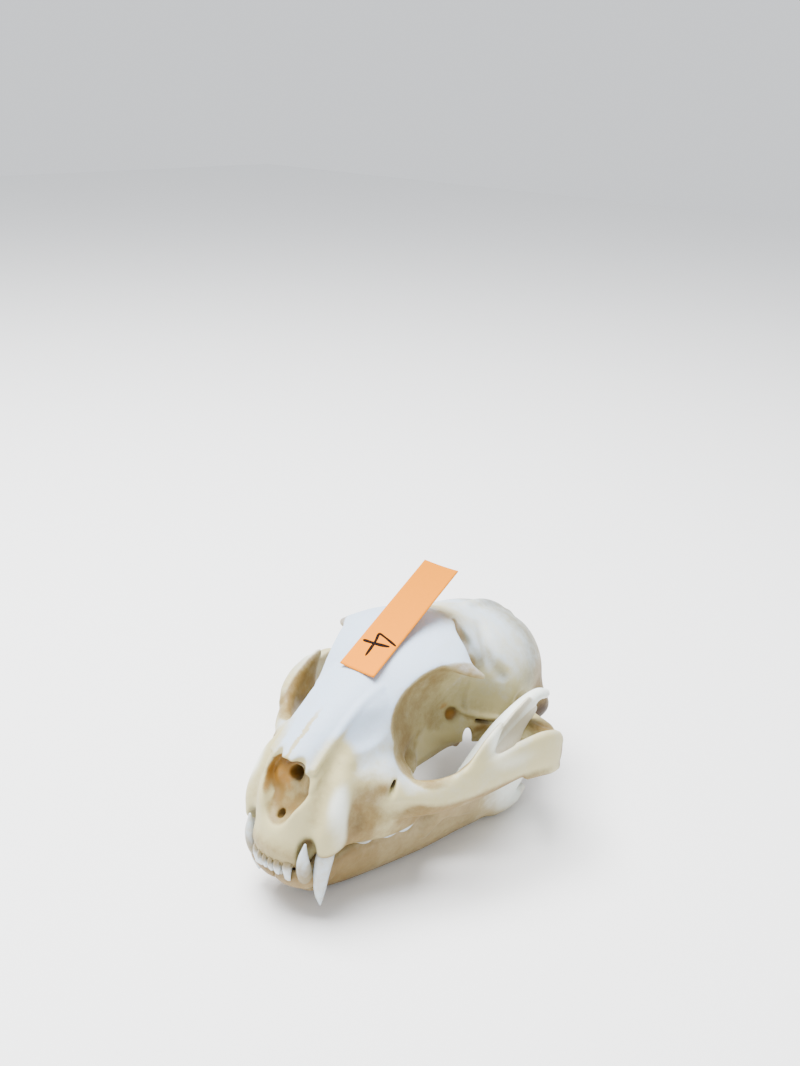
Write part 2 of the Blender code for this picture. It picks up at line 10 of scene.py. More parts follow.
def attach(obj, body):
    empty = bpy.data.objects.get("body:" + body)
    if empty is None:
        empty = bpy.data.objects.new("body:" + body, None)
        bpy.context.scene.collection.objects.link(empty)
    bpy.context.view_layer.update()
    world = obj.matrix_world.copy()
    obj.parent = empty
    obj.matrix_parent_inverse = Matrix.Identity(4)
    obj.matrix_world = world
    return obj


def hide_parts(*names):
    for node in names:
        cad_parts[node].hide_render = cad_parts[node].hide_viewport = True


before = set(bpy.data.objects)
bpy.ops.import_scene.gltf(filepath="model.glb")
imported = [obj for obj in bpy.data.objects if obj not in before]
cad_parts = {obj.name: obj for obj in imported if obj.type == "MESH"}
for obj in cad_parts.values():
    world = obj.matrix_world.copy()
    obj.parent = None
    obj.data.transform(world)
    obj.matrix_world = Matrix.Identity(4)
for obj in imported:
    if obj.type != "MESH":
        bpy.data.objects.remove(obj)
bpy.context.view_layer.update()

# The cranium: some thirty bones grown together, thin-walled and matt. Each form below is one of the swellings,
# plates or hollows that anatomists name, and all of them melt together as bone does, so the surface is taken
# from a field of distances. Sizes are in millimetres: the field's points are FINE apart, PLACE moves to the frame.
FINE = 0.5
PLACE = np.array([0.0, -2.474, -1.188])


def fillet_min(a, b, fillet):
    """The smaller of two distances, rounded off where they differ by less than the fillet."""
    h = np.maximum(fillet - np.abs(a - b), 0) / fillet
    return np.minimum(a, b) - h * h * (fillet / 4)


def curve_through(rows, per_span):
    """A smooth curve: each span is the cubic whose end slopes are half the step between the neighbouring rows."""
    rows = np.asarray(rows, float)
    q = np.vstack([2 * rows[0] - rows[1], rows, 2 * rows[-1] - rows[-2]])
    t = np.linspace(0, 1, per_span, endpoint=False)[:, None]
    spans = [b + 0.5 * t * (c - a + t * (2 * a - 5 * b + 4 * c - d + t * (3 * (b - c) + d - a)))
             for a, b, c, d in zip(q, q[1:], q[2:], q[3:])]
    return np.vstack(spans + [rows[-1:]])


def ellipse_distance(offsets, radii):
    """k (k - 1) / |grad k|, with k the length of the offsets divided by the radii: zero on the ellipsoid."""
    k = np.sqrt(sum((o / r) ** 2 for o, r in zip(offsets, radii)))
    slope = np.sqrt(sum((o / r ** 2) ** 2 for o, r in zip(offsets, radii)))
    return k * (k - 1) / np.maximum(slope, 1e-6)


class Egg:
    """An ellipsoid, turned in degrees about x and then about z."""

    def __init__(self, centre, radii, turn=(0, 0)):
        (cx, cz), (sx, sz) = np.cos(np.radians(turn)), np.sin(np.radians(turn))
        about_z = np.array([[cz, -sz, 0], [sz, cz, 0], [0, 0, 1]])
        self.axes = about_z @ np.array([[1, 0, 0], [0, cx, -sx], [0, sx, cx]])
        self.centre, self.radii = np.array(centre, float), np.array(radii, float)

    def pieces(self):
        """The box round the ellipsoid, low and high, and its distance."""
        reach = np.sqrt(((self.axes * self.radii) ** 2).sum(axis=1))
        yield self.centre - reach, self.centre + reach, self.distance

    def distance(self, x, y, z):
        p = (x - self.centre[0], y - self.centre[1], z - self.centre[2])
        return ellipse_distance([sum(p[i] * self.axes[i, k] for i in range(3)) for k in range(3)], self.radii)


class Strap:
    """An ellipse carried along a smooth path: half height `tall` along `up`, half width `thick` across it."""

    def __init__(self, path, tall, thick=None, up=(0.13, 0.21, 0.97), per_span=6):
        count, thick = len(path), tall if thick is None else thick
        columns = [np.array(path, float), np.broadcast_to(tall, count)[:, None],
                   np.broadcast_to(thick, count)[:, None], np.broadcast_to(np.array(up, float), (count, 3))]
        self.rows = curve_through(np.hstack(columns), per_span)

    def pieces(self):
        """For each stretch between two rows, the box round it, low and high, and its distance."""
        for a, b in zip(self.rows, self.rows[1:]):
            reach = max(a[3:5].max(), b[3:5].max())
            yield (np.minimum(a[:3], b[:3]) - reach, np.maximum(a[:3], b[:3]) + reach,
                   lambda x, y, z, a=a, b=b: self.distance(a, b, x, y, z))

    @staticmethod
    def distance(a, b, x, y, z):
        length = np.linalg.norm(b[:3] - a[:3])
        ahead = (b[:3] - a[:3]) / length
        up = a[5:] + b[5:] - ahead * ((a[5:] + b[5:]) @ ahead)
        up /= np.linalg.norm(up)
        side = np.cross(ahead, up)
        p = (x - a[0], y - a[1], z - a[2])
        along = sum(c * e for c, e in zip(p, ahead))
        t = np.clip(along / length, 0, 1)
        tall, thick = a[3] + (b[3] - a[3]) * t, a[4] + (b[4] - a[4]) * t
        offsets = [sum(c * e for c, e in zip(p, up)), sum(c * e for c, e in zip(p, side)), along - t * length]
        return ellipse_distance(offsets, [tall, thick, np.minimum(tall, thick)])


class Bone:
    """Signed distances, negative inside, over the left half of a bone: its grid starts at x = 0."""
    FAR = 60

    def __init__(self, low, high):
        self.low = np.array(low, float)
        counts = np.round((np.array(high) - self.low) / FINE).astype(int) + 1
        self.axes = [(self.low[i] + FINE * np.arange(counts[i])).astype(np.float32) for i in range(3)]
        self.field = np.full(counts, self.FAR, np.float32)

    def put(self, form, fillet, sign):
        """Joins the form to the bone, or with sign -1 takes it away, with the fillet along the seam."""
        pieces, margin = list(form.pieces()), fillet + 2
        start, stop = np.min([p[0] for p in pieces], axis=0), np.max([p[1] for p in pieces], axis=0)
        place = self.window(start - margin, stop + margin)
        near = np.full(self.field[place].shape, margin, np.float32)
        for low, high, distance in pieces:
            part = self.window(low - margin, high + margin)
            x, y, z = (axis[s] for axis, s in zip(self.axes, part))
            if min(len(x), len(y), len(z)):
                value = distance(x[:, None, None], y[None, :, None], z[None, None, :])
                inner = tuple(slice(s.start - w.start, s.stop - w.start) for s, w in zip(part, place))
                near[inner] = np.minimum(near[inner], value)
        self.field[place] = sign * fillet_min(sign * self.field[place], near, fillet)

    def window(self, low, high):
        """The slices of the grid that hold the box from low to high."""
        first = np.clip(np.floor((low - self.low) / FINE).astype(int), 0, self.field.shape)
        last = np.clip(np.ceil((high - self.low) / FINE).astype(int) + 1, 0, self.field.shape)
        return tuple(slice(i, j) for i, j in zip(first, last))

    def add(self, form, fillet=2.0):
        self.put(form, fillet, 1)

    def cut(self, form, fillet=1.0):
        self.put(form, fillet, -1)

    def merge(self, other, fillet):
        self.field = fillet_min(self.field, other.field, fillet)

    def both_halves(self):
        """The same bone with its mirror image in x = 0 joined on."""
        whole = object.__new__(Bone)
        whole.field = np.concatenate([self.field[:0:-1], self.field])
        whole.low = self.low - (self.axes[0][-1], 0, 0)
        whole.axes = [np.concatenate([-self.axes[0][:0:-1], self.axes[0]]), *self.axes[1:]]
        return whole


def zero_surface(bone):
    """Each cell that the surface crosses gets one point, the mean of the zeros along its edges; each grid edge
    that it crosses gets one quad, between the four cells round the edge."""
    d, inside = bone.field, bone.field < 0
    corners = [(i, j, k) for i in (0, 1) for j in (0, 1) for k in (0, 1)]
    full = sum(inside[i:d.shape[0] - 1 + i, j:d.shape[1] - 1 + j, k:d.shape[2] - 1 + k].astype(np.int8)
               for i, j, k in corners)
    cells = np.argwhere((full > 0) & (full < 8))
    number = np.full(full.shape, -1, np.int32)
    number[tuple(cells.T)] = np.arange(len(cells))
    total, crossings = np.zeros((len(cells), 3)), np.zeros(len(cells))
    for near in corners:
        for axis in range(3):
            if not near[axis]:
                far = tuple(1 if i == axis else n for i, n in enumerate(near))
                a, b = d[tuple((cells + near).T)], d[tuple((cells + far).T)]
                crosses = (a < 0) != (b < 0)
                t = np.where(crosses, a / np.where(crosses, a - b, 1), 0)
                total += (np.array(near) + t[:, None] * (np.array(far) - near)) * crosses[:, None]
                crossings += crosses
    quads = []
    for axis, (u, w) in enumerate(((1, 2), (2, 0), (0, 1))):
        low = tuple(slice(0, -1) if i == axis else slice(None) for i in range(3))
        high = tuple(slice(1, None) if i == axis else slice(None) for i in range(3))
        du, dw = np.eye(3, dtype=int)[u], np.eye(3, dtype=int)[w]
        for leaving in (True, False):
            edge = np.argwhere(inside[low] & ~inside[high] if leaving else ~inside[low] & inside[high])
            quad = np.stack([number[tuple((edge - s).T)] for s in (du + dw, dw, 0 * du, du)], axis=1)
            quads.append(quad if leaving else quad[:, ::-1])
    return (cells + total / crossings[:, None]) * FINE + bone.low, np.vstack(quads)


def make_piece(name, points, faces, most_triangles=None):
    """A smooth-shaded mesh in metres from points in millimetres, thinned where it has too many triangles."""
    data = bpy.data.meshes.new(name)
    data.from_pydata(((points + PLACE) * 0.001).tolist(), [], faces)
    piece = bpy.data.objects.new(name, data)
    bpy.context.scene.collection.objects.link(piece)
    count = sum(len(face) - 2 for face in faces)
    if most_triangles and count > most_triangles:
        thin = piece.modifiers.new("thin", 'DECIMATE')
        thin.ratio = most_triangles / count
        piece.data = bpy.data.meshes.new_from_object(piece.evaluated_get(bpy.context.evaluated_depsgraph_get()))
        piece.modifiers.clear()
    piece.data.shade_smooth()
    return piece


def solid_share(bone, radius):
    """How much of a box of this radius round each grid point is bone: over a half in a hollow, under on a ridge."""
    share = np.clip(0.5 - bone.field / FINE, 0, 1).astype(np.float32)
    reach = max(1, int(round(radius / FINE)))
    for axis in range(3):
        for _ in range(2):
            padded = np.pad(share, [(reach + 1, reach) if i == axis else (0, 0) for i in range(3)], mode='edge')
            sums = np.cumsum(padded, axis=axis, dtype=np.float32)
            upper, lower = [slice(None)] * 3, [slice(None)] * 3
            upper[axis], lower[axis] = slice(2 * reach + 1, None), slice(0, -2 * reach - 1)
            share = (sums[tuple(upper)] - sums[tuple(lower)]) / (2 * reach + 1)
    return share


def read_grid(bone, grid, points):
    """The grid's value at each point, blended from the eight corners of its cell."""
    at = (points - bone.low) / FINE
    cell = np.clip(np.floor(at).astype(int), 0, np.array(grid.shape) - 2)
    f, total = at - cell, 0
    for i, j, k in [(i, j, k) for i in (0, 1) for j in (0, 1) for k in (0, 1)]:
        weight = abs(1 - i - f[:, 0]) * abs(1 - j - f[:, 1]) * abs(1 - k - f[:, 2])
        total = total + weight * grid[cell[:, 0] + i, cell[:, 1] + j, cell[:, 2] + k]
    return total


def points_of(piece):
    """The mesh's points, back in the bone's millimetres."""
    flat = np.empty(len(piece.data.vertices) * 3)
    piece.data.vertices.foreach_get('co', flat)
    return flat.reshape(-1, 3) * 1000 - PLACE


def facing_of(piece):
    """The way that the surface faces at each point, one unit long."""
    flat = np.empty(len(piece.data.vertices) * 3)
    piece.data.vertex_normals.foreach_get('vector', flat)
    return flat.reshape(-1, 3)


def gap_to(form, points):
    """The distance to the nearest piece of the form, negative inside."""
    return np.min([distance(*points.T) for _, _, distance in form.pieces()], axis=0)


def ease(value, low, high):
    """0 below the low value, 1 above the high one, and 3t^2 - 2t^3 between them."""
    t = np.clip((value - low) / (high - low), 0, 1)
    return t * t * (3 - 2 * t)


def spots(points, rows):
    """The sum of weight * exp(-r^2), with r the distance from the centre divided by the size along each axis."""
    return sum(weight * np.exp(-(((points - centre) / size) ** 2).sum(axis=1)) for weight, centre, size in rows)


def paint(piece, **layers):
    """Writes each layer to the mesh, one number for each point, kept between 0 and 1."""
    for name, values in layers.items():
        attribute = piece.data.attributes.new(name, 'FLOAT', 'POINT')
        attribute.data.foreach_set('value', np.clip(values, 0, 1).astype(np.float32))


skull_room = (0, -68, 2), (50, 72, 82)
skull = Bone(*skull_room)
# Brain case
skull.add(Egg((0, 30.4, 45.3), (26.5, 31, 22.3)))
skull.add(Egg((0, 44.5, 43.5), (21.5, 18, 16.5)), 8)
skull.add(Egg((0, 13, 51), (18, 24, 20.8)), 8)
skull.add(Egg((0, 2, 55), (17, 25, 17.6)), 8)
# Muzzle, nasal roof, root of the fang, edge that holds the cheek teeth
skull.add(Strap([(0, -51.5, 31.5), (0, -46, 37), (0, -38, 41), (0, -30, 44), (0, -20, 49)],
                [6.5, 11.5, 14.2, 17, 17], [10.5, 12.4, 13.2, 15.5, 17], up=(0, 0, 1)), 5)
skull.add(Strap([(0, -51.5, 47), (0, -42, 51.8), (0, -32, 56), (0, -22, 59.6)], [4.2, 5.2, 6, 6],
                [6.4, 7.4, 9, 12], up=(0, 0, 1)), 4)
skull.add(Egg((0, -52.6, 24.6), (10.6, 7.5, 8.1)), 3)
skull.add(Strap([(13.2, -49, 26.8), (13.6, -48, 33), (13.2, -44.4, 41), (11.5, -40, 48.5)],
                [5, 4.9, 3.8, 2], [3.6, 4, 3.5, 2], up=(0, 1, 0.3)), 3)
skull.add(Strap([(13, -44, 28), (16.2, -36, 26.6), (19.4, -27, 25.6), (21.4, -19.5, 26.4), (20, -14.5, 29.5)],
                [3.5, 4, 4.4, 4.2, 3.2], [3.2, 3.2, 3.3, 3.3, 3]), 4)
skull.add(Egg((0, -29, 30), (17, 25, 5)), 4)
skull.add(Egg((17, -28, 35.5), (7.6, 11, 10)), 6)
# Wall between the sockets, throat plates with their hooks
skull.add(Strap([(0, -18, 46), (0, -5, 47), (0, 10, 46), (0, 24, 44)], 14, [9.5, 9.5, 10, 14], up=(0, 0, 1)), 6)
skull.add(Strap([(9.5, -14, 33.5), (9, -2, 33), (8.6, 10, 31.8), (8.6, 23, 31)], [6.4, 6.6, 6.6, 6],
                [3, 1.9, 1.7, 1.7], up=(0, 0, 1)), 3)
skull.add(Strap([(8.4, 18.5, 28), (8.2, 22.5, 23.2)], [1.8, 1.1]), 2)
skull.add(Egg((11.5, -13, 33.5), (4, 7, 4.6)), 3)
skull.add(Egg((14, 29, 32), (7, 8.5, 6)), 4)
# Root of the cheek arch, ear bulb, mastoid, nape crests, neck joint
skull.add(Strap([(19, 33, 35), (28, 33, 34), (35, 32, 34)], [7.4, 4.8, 4]), 4)
skull.add(Strap([(24, 37.3, 30), (34, 36.8, 29)], [2, 1.5]), 3)
skull.add(Egg((16, 42.5, 29), (8.3, 13, 8.7), (0, -12)), 3)
skull.add(Strap([(21.4, 46.6, 38.5), (23, 50.4, 32.5), (20.5, 53.5, 28)], [3.2, 3.6, 2.2]), 4)
skull.add(Strap([(0, 62.5, 53), (9, 60, 50.8), (16.5, 54.5, 45.5), (21.8, 48, 39)], [2.2, 2.2, 2.2, 2.5],
                [1.6, 1.6, 1.6, 2], up=(0, 0, 1)), 4)
skull.add(Strap([(0, 36, 67.6), (0, 46, 64.6), (0, 56, 58.4), (0, 62.5, 53)], [1, 1.3, 2, 2],
                [1.2, 1.2, 1.4, 1.8], up=(0, 0, 1)), 3)
skull.add(Egg((8.5, 60.5, 32.5), (4.6, 5.2, 6), (0, 20)), 3)
# Forehead: a broad low dome that ends behind in the temporal lines
dome = Bone(*skull_room)
dome.add(Egg((0, 4, 51.6), (32.7, 30.8, 23.3)))
dome.cut(Egg((30, 0, 38), (20, 44, 22)), 3)
dome.cut(Egg((28.5, 30, 70), (24.2, 24.2, 40)), 0.8)
skull.merge(dome, 1.6)
skull.add(Strap([(12.2, -43, 36), (14.8, -36.8, 35.5), (17.6, -31, 35.5)], [8, 8.5, 8], [2.4, 2.6, 2.6],
                up=(0, 0, 1)), 5)
# Eye sockets, open backwards into the temples
socket_bowl, socket_floor = Egg((27.5, -8, 55), (17, 20.5, 15)), Egg((28, -12, 48), (14, 15.5, 10))
temple_low, temple_high = Egg((25, 7, 44.5), (12, 17, 11.5)), Egg((31, 9, 53), (14, 17, 15))
skull.cut(socket_bowl, 2)
skull.cut(socket_floor, 3)
skull.cut(temple_low, 9)
skull.cut(temple_high, 7)
# Roof of the sockets, out to its hind corner, and the brow's edge
skull.add(Strap([(14, 1, 69), (20, 1.6, 67.4), (24.4, 3.2, 65.6), (27.6, 5.2, 63.9)], [2.6, 2, 1.5, 0.8],
                [5, 4.4, 2.6, 0.9], up=(0, 0, 1)), 2)
# Cheek arch with the corner that answers the brow's
skull.add(Strap([(19, -30, 35.5), (25.5, -24.5, 35), (31, -19, 35.5), (35.4, -11, 36.6), (38.6, -2, 37.4),
                 (42, 8, 39), (44.8, 16.5, 39), (45, 23.2, 36), (41.6, 28.4, 34.4), (35, 31.8, 34.2),
                 (28, 32.5, 34.5)],
                [6, 5.8, 5.6, 6, 6, 6.4, 6.8, 6.4, 5.2, 4.4, 4], [5, 4, 3, 2.4, 2.1, 2, 2.1, 2.2, 2.5, 2.9, 3.6],
                up=(0, 0, 1)), 3)
skull.add(Strap([(41.4, 7, 44.2), (44, 15, 44.6), (45, 20.5, 42.6), (45, 24.6, 39.6)], [1, 1.3, 1.5, 1.4]), 1.5)
skull.add(Strap([(43.6, 10, 32.8), (45.4, 18, 31.6), (45.2, 24.4, 30)], [1, 1.3, 1.5]), 1.5)
skull.add(Strap([(35, -7.5, 39), (35.8, -4, 44), (36.1, 0, 48), (36.2, 4, 51)], [7.5, 5, 2.8, 0.9],
                [1.9, 1.6, 1.3, 0.8], up=(0, 1, 0)), 3)
# Shallow hollow beside the nasal bone, that bone's edge, hollows of the cheek, dents of the temple
skull.cut(Egg((14.1, -33.6, 60.6), (5, 12, 9), (0, -22)), 1.2)
skull.add(Strap([(8.8, -21, 64), (8.1, -29, 61.6), (7.9, -37, 57.4), (8, -44.5, 52.8), (8, -49, 49.6)], 0.9), 1.4)
skull.cut(Egg((29.4, -30.6, 33.4), (9, 4, 4), (0, 42)), 2)
skull.cut(Egg((24.7, -41.4, 36.6), (7, 7.2, 8.2)), 3.2)
crease = Strap([(9, 17.2, 71.5), (13.2, 14.8, 68.8), (16.6, 13.1, 64.5), (18.4, 14.8, 60.2)], [1, 1.8, 2.1, 1.6])
groove = Strap([(11.5, 29, 67.6), (16.9, 25, 64.6), (20.6, 23.2, 59.6), (23, 25, 54.4)], [1.3, 2.1, 2.4, 1.7])
skull.cut(crease, 1)
skull.cut(groove, 3)
# Notch between the throat plate and the ear bulb, with the crest and the slit above it
skull.cut(Strap([(19.4, 12, 35), (16.6, 16.4, 31.9), (12, 23.5, 26.6), (7.4, 30.6, 21.3)], 3.4, [1.7, 1.5, 1.5, 1.7],
                up=(0, 0, 1)), 0.6)
skull.add(Strap([(12.6, 12.5, 43.4), (15.8, 16.8, 40.8), (19, 20.2, 39.2), (22.6, 24, 38.4)],
                [0.5, 0.8, 0.8, 0.5]), 1.2)
skull.cut(Strap([(18, 19.4, 37.8), (21.6, 23.2, 36.6)], [0.7, 0.5], [1.6, 1.2], up=(0, 0, 1)), 0.8)
# Nose opening with its notches, sloping floor, deep hole and pit
nose_hollow = Strap([(0, -66, 44), (0, -55, 43.6), (0, -46, 43.4), (0, -40, 43)], [8, 7.6, 7, 6], [7.8, 8, 7.6, 6],
                    up=(0, 0, 1))
nose_notch = Strap([(0, -66, 38.5), (0, -55, 38), (0, -46, 39)], [6, 5.6, 5], [4.6, 4.8, 5.4], up=(0, 0, 1))
skull.cut(nose_hollow, 1.6)
skull.cut(nose_notch, 2.4)
skull.cut(Egg((4.4, -53.4, 51), (2.3, 4.4, 4)), 0.8)
skull.add(Strap([(0, -53.5, 30.8), (0, -50, 33.2), (0, -45.8, 36.5), (0, -42, 41)], [2, 3.4, 5, 7], [4, 6, 7.5, 8],
                up=(0, 0, 1)), 3)
skull.add(Egg((5.2, -43.6, 42), (3.2, 6, 6)), 1.6)
skull.cut(Strap([(0.5, -55, 47.8), (0.5, -46.6, 44.2), (0.5, -39, 41.6)], [2, 2, 1.5]), 0.5)
skull.cut(Egg((0.2, -53.2, 33.2), (1, 1.7, 1.6)), 0.6)
# Pocket in which the lower fang stands, before the upper one, and the edge of bone above it
skull.cut(Egg((10.7, -54.6, 25), (2.9, 3, 5.2)), 1.2)
skull.add(Strap([(7.6, -45.5, 48.4), (8.4, -48.6, 46.6), (8.6, -50.6, 44)], [1.3, 1.1, 0.6]), 1)
# Hole for the spinal cord, hollow behind the palate, top of the arch's hind root
skull.cut(Strap([(0, 75, 35.5), (0, 60, 36.5), (0, 46, 40)], [7.2, 7, 6]), 1.2)
skull.cut(Strap([(0, -2, 27), (0, 10, 28), (0, 20, 26.5), (0, 26, 26)], [4, 7, 8, 8], [6, 5.8, 5.4, 5],
                up=(0, 0, 1)), 1.5)
skull.cut(Strap([(28, 32, 43), (33.5, 32.6, 41.4), (38.5, 32.5, 40.6)], [3.6, 4.2, 3.4]), 1.5)
# Small holes for nerves: below the socket, at its back, and in its wall
skull.cut(Strap([(25.4, -35.8, 39), (22.8, -31.6, 40.6), (19.5, -27, 41.6)], [1.6, 1.5, 1.1], [0.75, 0.7, 0.6],
                up=(0.45, 0, 0.9)), 1.6)
skull.cut(Strap([(15.4, 8.2, 44), (12.8, 12, 41.2)], [2.5, 2.1]), 1.6)
skull.cut(Strap([(14.8, 3.4, 48.6), (13.6, 5.8, 46.2)], [2.0, 1.6]), 1.6)
# The right cheek arch bulges a little more in front than the left one and is lower behind
whole_skull = skull.both_halves()
whole_skull.add(Strap([(-34.2, -16, 40), (-36.4, -11.4, 42.6), (-37.6, -6.5, 45.2), (-37.2, -2, 48.2)],
                      [1.8, 2.4, 2.3, 1.5]), 2)
whole_skull.cut(Strap([(-39.5, 7, 50), (-43, 13, 48.2), (-46, 20, 46.3), (-46.6, 26, 43.8)], 5), 1.5)
skull_points, skull_faces = zero_surface(whole_skull)
cranium = make_piece("cranium", skull_points, skull_faces.tolist(), 190000)

# Stains, painted light and painted shade on the bone. Both halves are painted alike, as if each point were on the
# left
at = points_of(cranium)
# Shares of bone round each point: the layers below paint shade where these are high, in hollows and crevices.
close = read_grid(whole_skull, solid_share(whole_skull, 1.2), at)
wide = read_grid(whole_skull, solid_share(whole_skull, 4), at)
to_left = np.where(at[:, :1] < 0, (-1, 1, 1), (1, 1, 1))
half, facing = at * to_left, facing_of(cranium) * to_left
x, y, z = half.T
# Insides of the sockets and temples: painted shade there, over the bone's own stain.
socket = np.max([ease(-gap_to(socket_bowl, half), -1.6, 0.3), ease(-gap_to(socket_floor, half), -2.5, 0.3),
                 ease(-gap_to(temple_low, half), -4, 0.3),
                 0.75 * ease(-gap_to(temple_high, half), -4, 1) * ease(-z, -60, -44)], axis=0)
socket *= ease(-x, -36, -28) * (1 - 0.5 * ease(y, -2, 14)) * (1 + 0.15 * ease(-y, 6, 16))
wall = Strap([(15.1, 7.2, 59.2), (12.6, 4.4, 54.5), (11.6, 0, 49.5), (12.1, -5.8, 44.5), (12.3, -8, 39),
              (15.4, -12.6, 35)], [1.6, 1.8, 2, 2.2, 2.4, 2.4])
hollow = np.maximum(ease(socket, 0.1, 0.5), ease(-gap_to(wall, half), -4, -0.5))
# Painted shade on the inner faces of the cheek arches, turned away from the light.
shaded_inner_arch = ease(-facing[:, 0], 0.1, 0.6) * ease(x, 27, 31)
nose = ease(-np.minimum(gap_to(nose_hollow, half), gap_to(nose_notch, half)), -0.7, 0.2)
# Painted shade on faces turned down and low parts, and on every face that is not turned up.
under = ease(-facing[:, 2], 0.05, 0.8) + ease(-z, -30, -24)
sides = ease(-facing[:, 2], -0.7, 0.15)
# Painted light: the tops of the muzzle and forehead stay cool white.
painted_top_light = ease(z, 45, 62) * ease(-y, -30, 0)
border = Strap([(10, -40.5, 52.6), (9.6, -44, 50.2), (10.6, -47.4, 45.5), (11, -50.6, 41), (11.8, -52.4, 36)], 1.2)
fold = Strap([(17.6, 24.4, 62.4), (20.2, 24, 58.4), (22.6, 26.4, 53)], [0.6, 0.9, 0.6])
near_border, near_fold = -gap_to(border, half), -gap_to(fold, half)

# Painted shade and the bone's own tone: warmer on the sides, underneath, low down and in hollows, and cool white on
# the tops where light is painted.
warmth = 0.45 + 0.55 * sides - 0.55 * painted_top_light + 0.35 * ease(-z, -46, -30) + 0.4 * ease(x, 24, 34)
warmth += 0.5 * ease(-z, -45, -40) * ease(-y, 28, 32) + 1.1 * ease(near_border, -6.5, 1) + 0.4 * hollow
warmth += spots(half, [
    # muzzle and fang root
    (-0.9, (16, -47.6, 37), (2.6, 3.6, 11)), (0.7, (12.4, -43.2, 48.8), (3.6, 5, 4)),
    (0.5, (17.6, -43.6, 36), (2.6, 3, 9)), (0.5, (20, -36.5, 43), (6, 6, 5)), (-0.35, (12, -33, 55), (8, 12, 9)),
    # temple and the case behind the brow
    (0.7, (16, 15, 42), (6, 6, 4)), (-0.5, (19, 22, 47.5), (6, 6, 4.5)), (0.5, (3, 19, 73), (13, 9, 8))])
# Painted highlights along ridges: the fang's root, the cheek arch and its upper corner, the brain case.
pale = spots(half, [
    (1.0, (16, -47.2, 38), (2.6, 4, 12)), (0.4, (23, -33, 44), (5, 6, 4)), (0.9, (37.3, 0.5, 47.5), (3, 5, 5)),
    (0.6, (40, 7, 41), (6, 12, 3)), (0.4, (12, 30, 64), (10, 10, 8))])
# Painted greyish shade: on the case's hind slopes, along the fold, beside the crease behind the brow, and in patches
# on the temple, the case's side and the muzzle.
grey = 0.6 * ease(y, 34, 50) * ease(z, 44, 56) + 0.5 * ease(near_fold, -2.4, 0.2)
grey += spots(half, [
    (1.0, (12.2, 16.6, 68), (4.4, 2.8, 5.5)), (0.6, (17.6, 18, 60), (3.4, 4.5, 5)), (0.3, (25, 33, 50), (5, 6, 6)),
    (0.5, (25, 40, 47), (6, 7, 7)), (0.25, (14, -33, 57), (5, 9, 7)), (0.3, (20, -36, 44), (5, 6, 4))])
# Real stain and painted shade together: shade is painted in the sockets and the nose, on the arches' inner faces, on
# faces turned down, in hollows, along the crease and the groove, and under the arch.
tan = 0.88 * socket + 0.6 * shaded_inner_arch + 0.8 * nose + 0.5 * under + 1.3 * ease(wide, 0.53, 0.78)
tan += 0.6 * ease(-gap_to(crease, half), -1.6, 0.1) + 0.45 * ease(-gap_to(groove, half), -1.2, 0.2)
tan += 0.48 * ease(near_border, -4.4, 1) + 0.6 * ease(near_fold, -1.0, 0.4)
tan += 1.2 * ease(-z, -37, -31.5) * ease(x, 25, 29) * ease(-y, -26, -8)
tan += 0.3 * ease(-at[:, 0], 20, 26) * ease(-y, -6, 2)
tan += 0.95 * ease(y, 32, 48) * (1 - 0.6 * ease(z, 44, 56)) + spots(at, [(0.5, (-33.7, -17.5, 41.5), (3, 4, 3))])
tan += spots(half, [
    # hollow of the cheek behind the fang's root
    (0.6, (17.6, -41.6, 35), (3, 4, 9)), (0.9, (19.8, -38, 35), (4.6, 6, 8)), (1.3, (18.2, -41, 30), (3, 3.6, 4)),
    (0.3, (18.8, -38, 42), (4, 5, 5)), (0.6, (18, -41.2, 27), (3, 3, 3)), (0.6, (21.5, -33.5, 41.5), (3, 3, 2.4)),
    (-0.3, (20.5, -33.5, 24), (3, 6, 2)), (0.3, (4, -58, 27), (9, 6, 6)),
    # under the front of the arch: painted shade
    (0.7, (24, -27, 31), (7, 9, 4)), (0.5, (27, -26.5, 31), (5, 4, 3)), (0.7, (25.5, -21.5, 27.5), (5, 7, 3.4)),
    (0.7, (35, -6, 41), (3, 7, 2.4)),
    # socket's wall and the brow's underside: painted shade
    (0.75, (13.6, -11.6, 37.6), (5, 8, 8)), (0.5, (14.3, -15.3, 45), (5, 5, 7)), (0.5, (19.6, -24, 44), (4, 3, 4)),
    (0.3, (14.4, 3, 60), (5, 6, 6)), (-0.16, (11.4, -4, 51.5), (4, 8, 7)), (0.25, (15, 9, 55), (5, 6, 5)),
    (0.25, (25, 1.5, 65), (5, 6, 1.8)),
    # temple, notch and the case behind the brow
    (0.6, (16.5, 17, 42), (6, 6, 3)), (0.9, (19.5, 20, 35), (4, 4.5, 3)), (-0.75, (18.5, 21.5, 47.5), (6, 6, 4.5)),
    (0.5, (17.6, 18, 59.5), (3, 4, 4)), (0.5, (3, 17, 73), (9, 5, 6)),
    # hind root and corner of the arch, ear opening: painted shade
    (1.1, (36, 31, 38), (7, 5, 7)), (1.1, (46.5, 25.5, 35), (3, 2.6, 7)), (1.4, (25.5, 48, 32), (4, 6, 7))])
tan += 0.75 * hollow * (0.76 - 0.42 * ease(y, 2, 15) - tan)
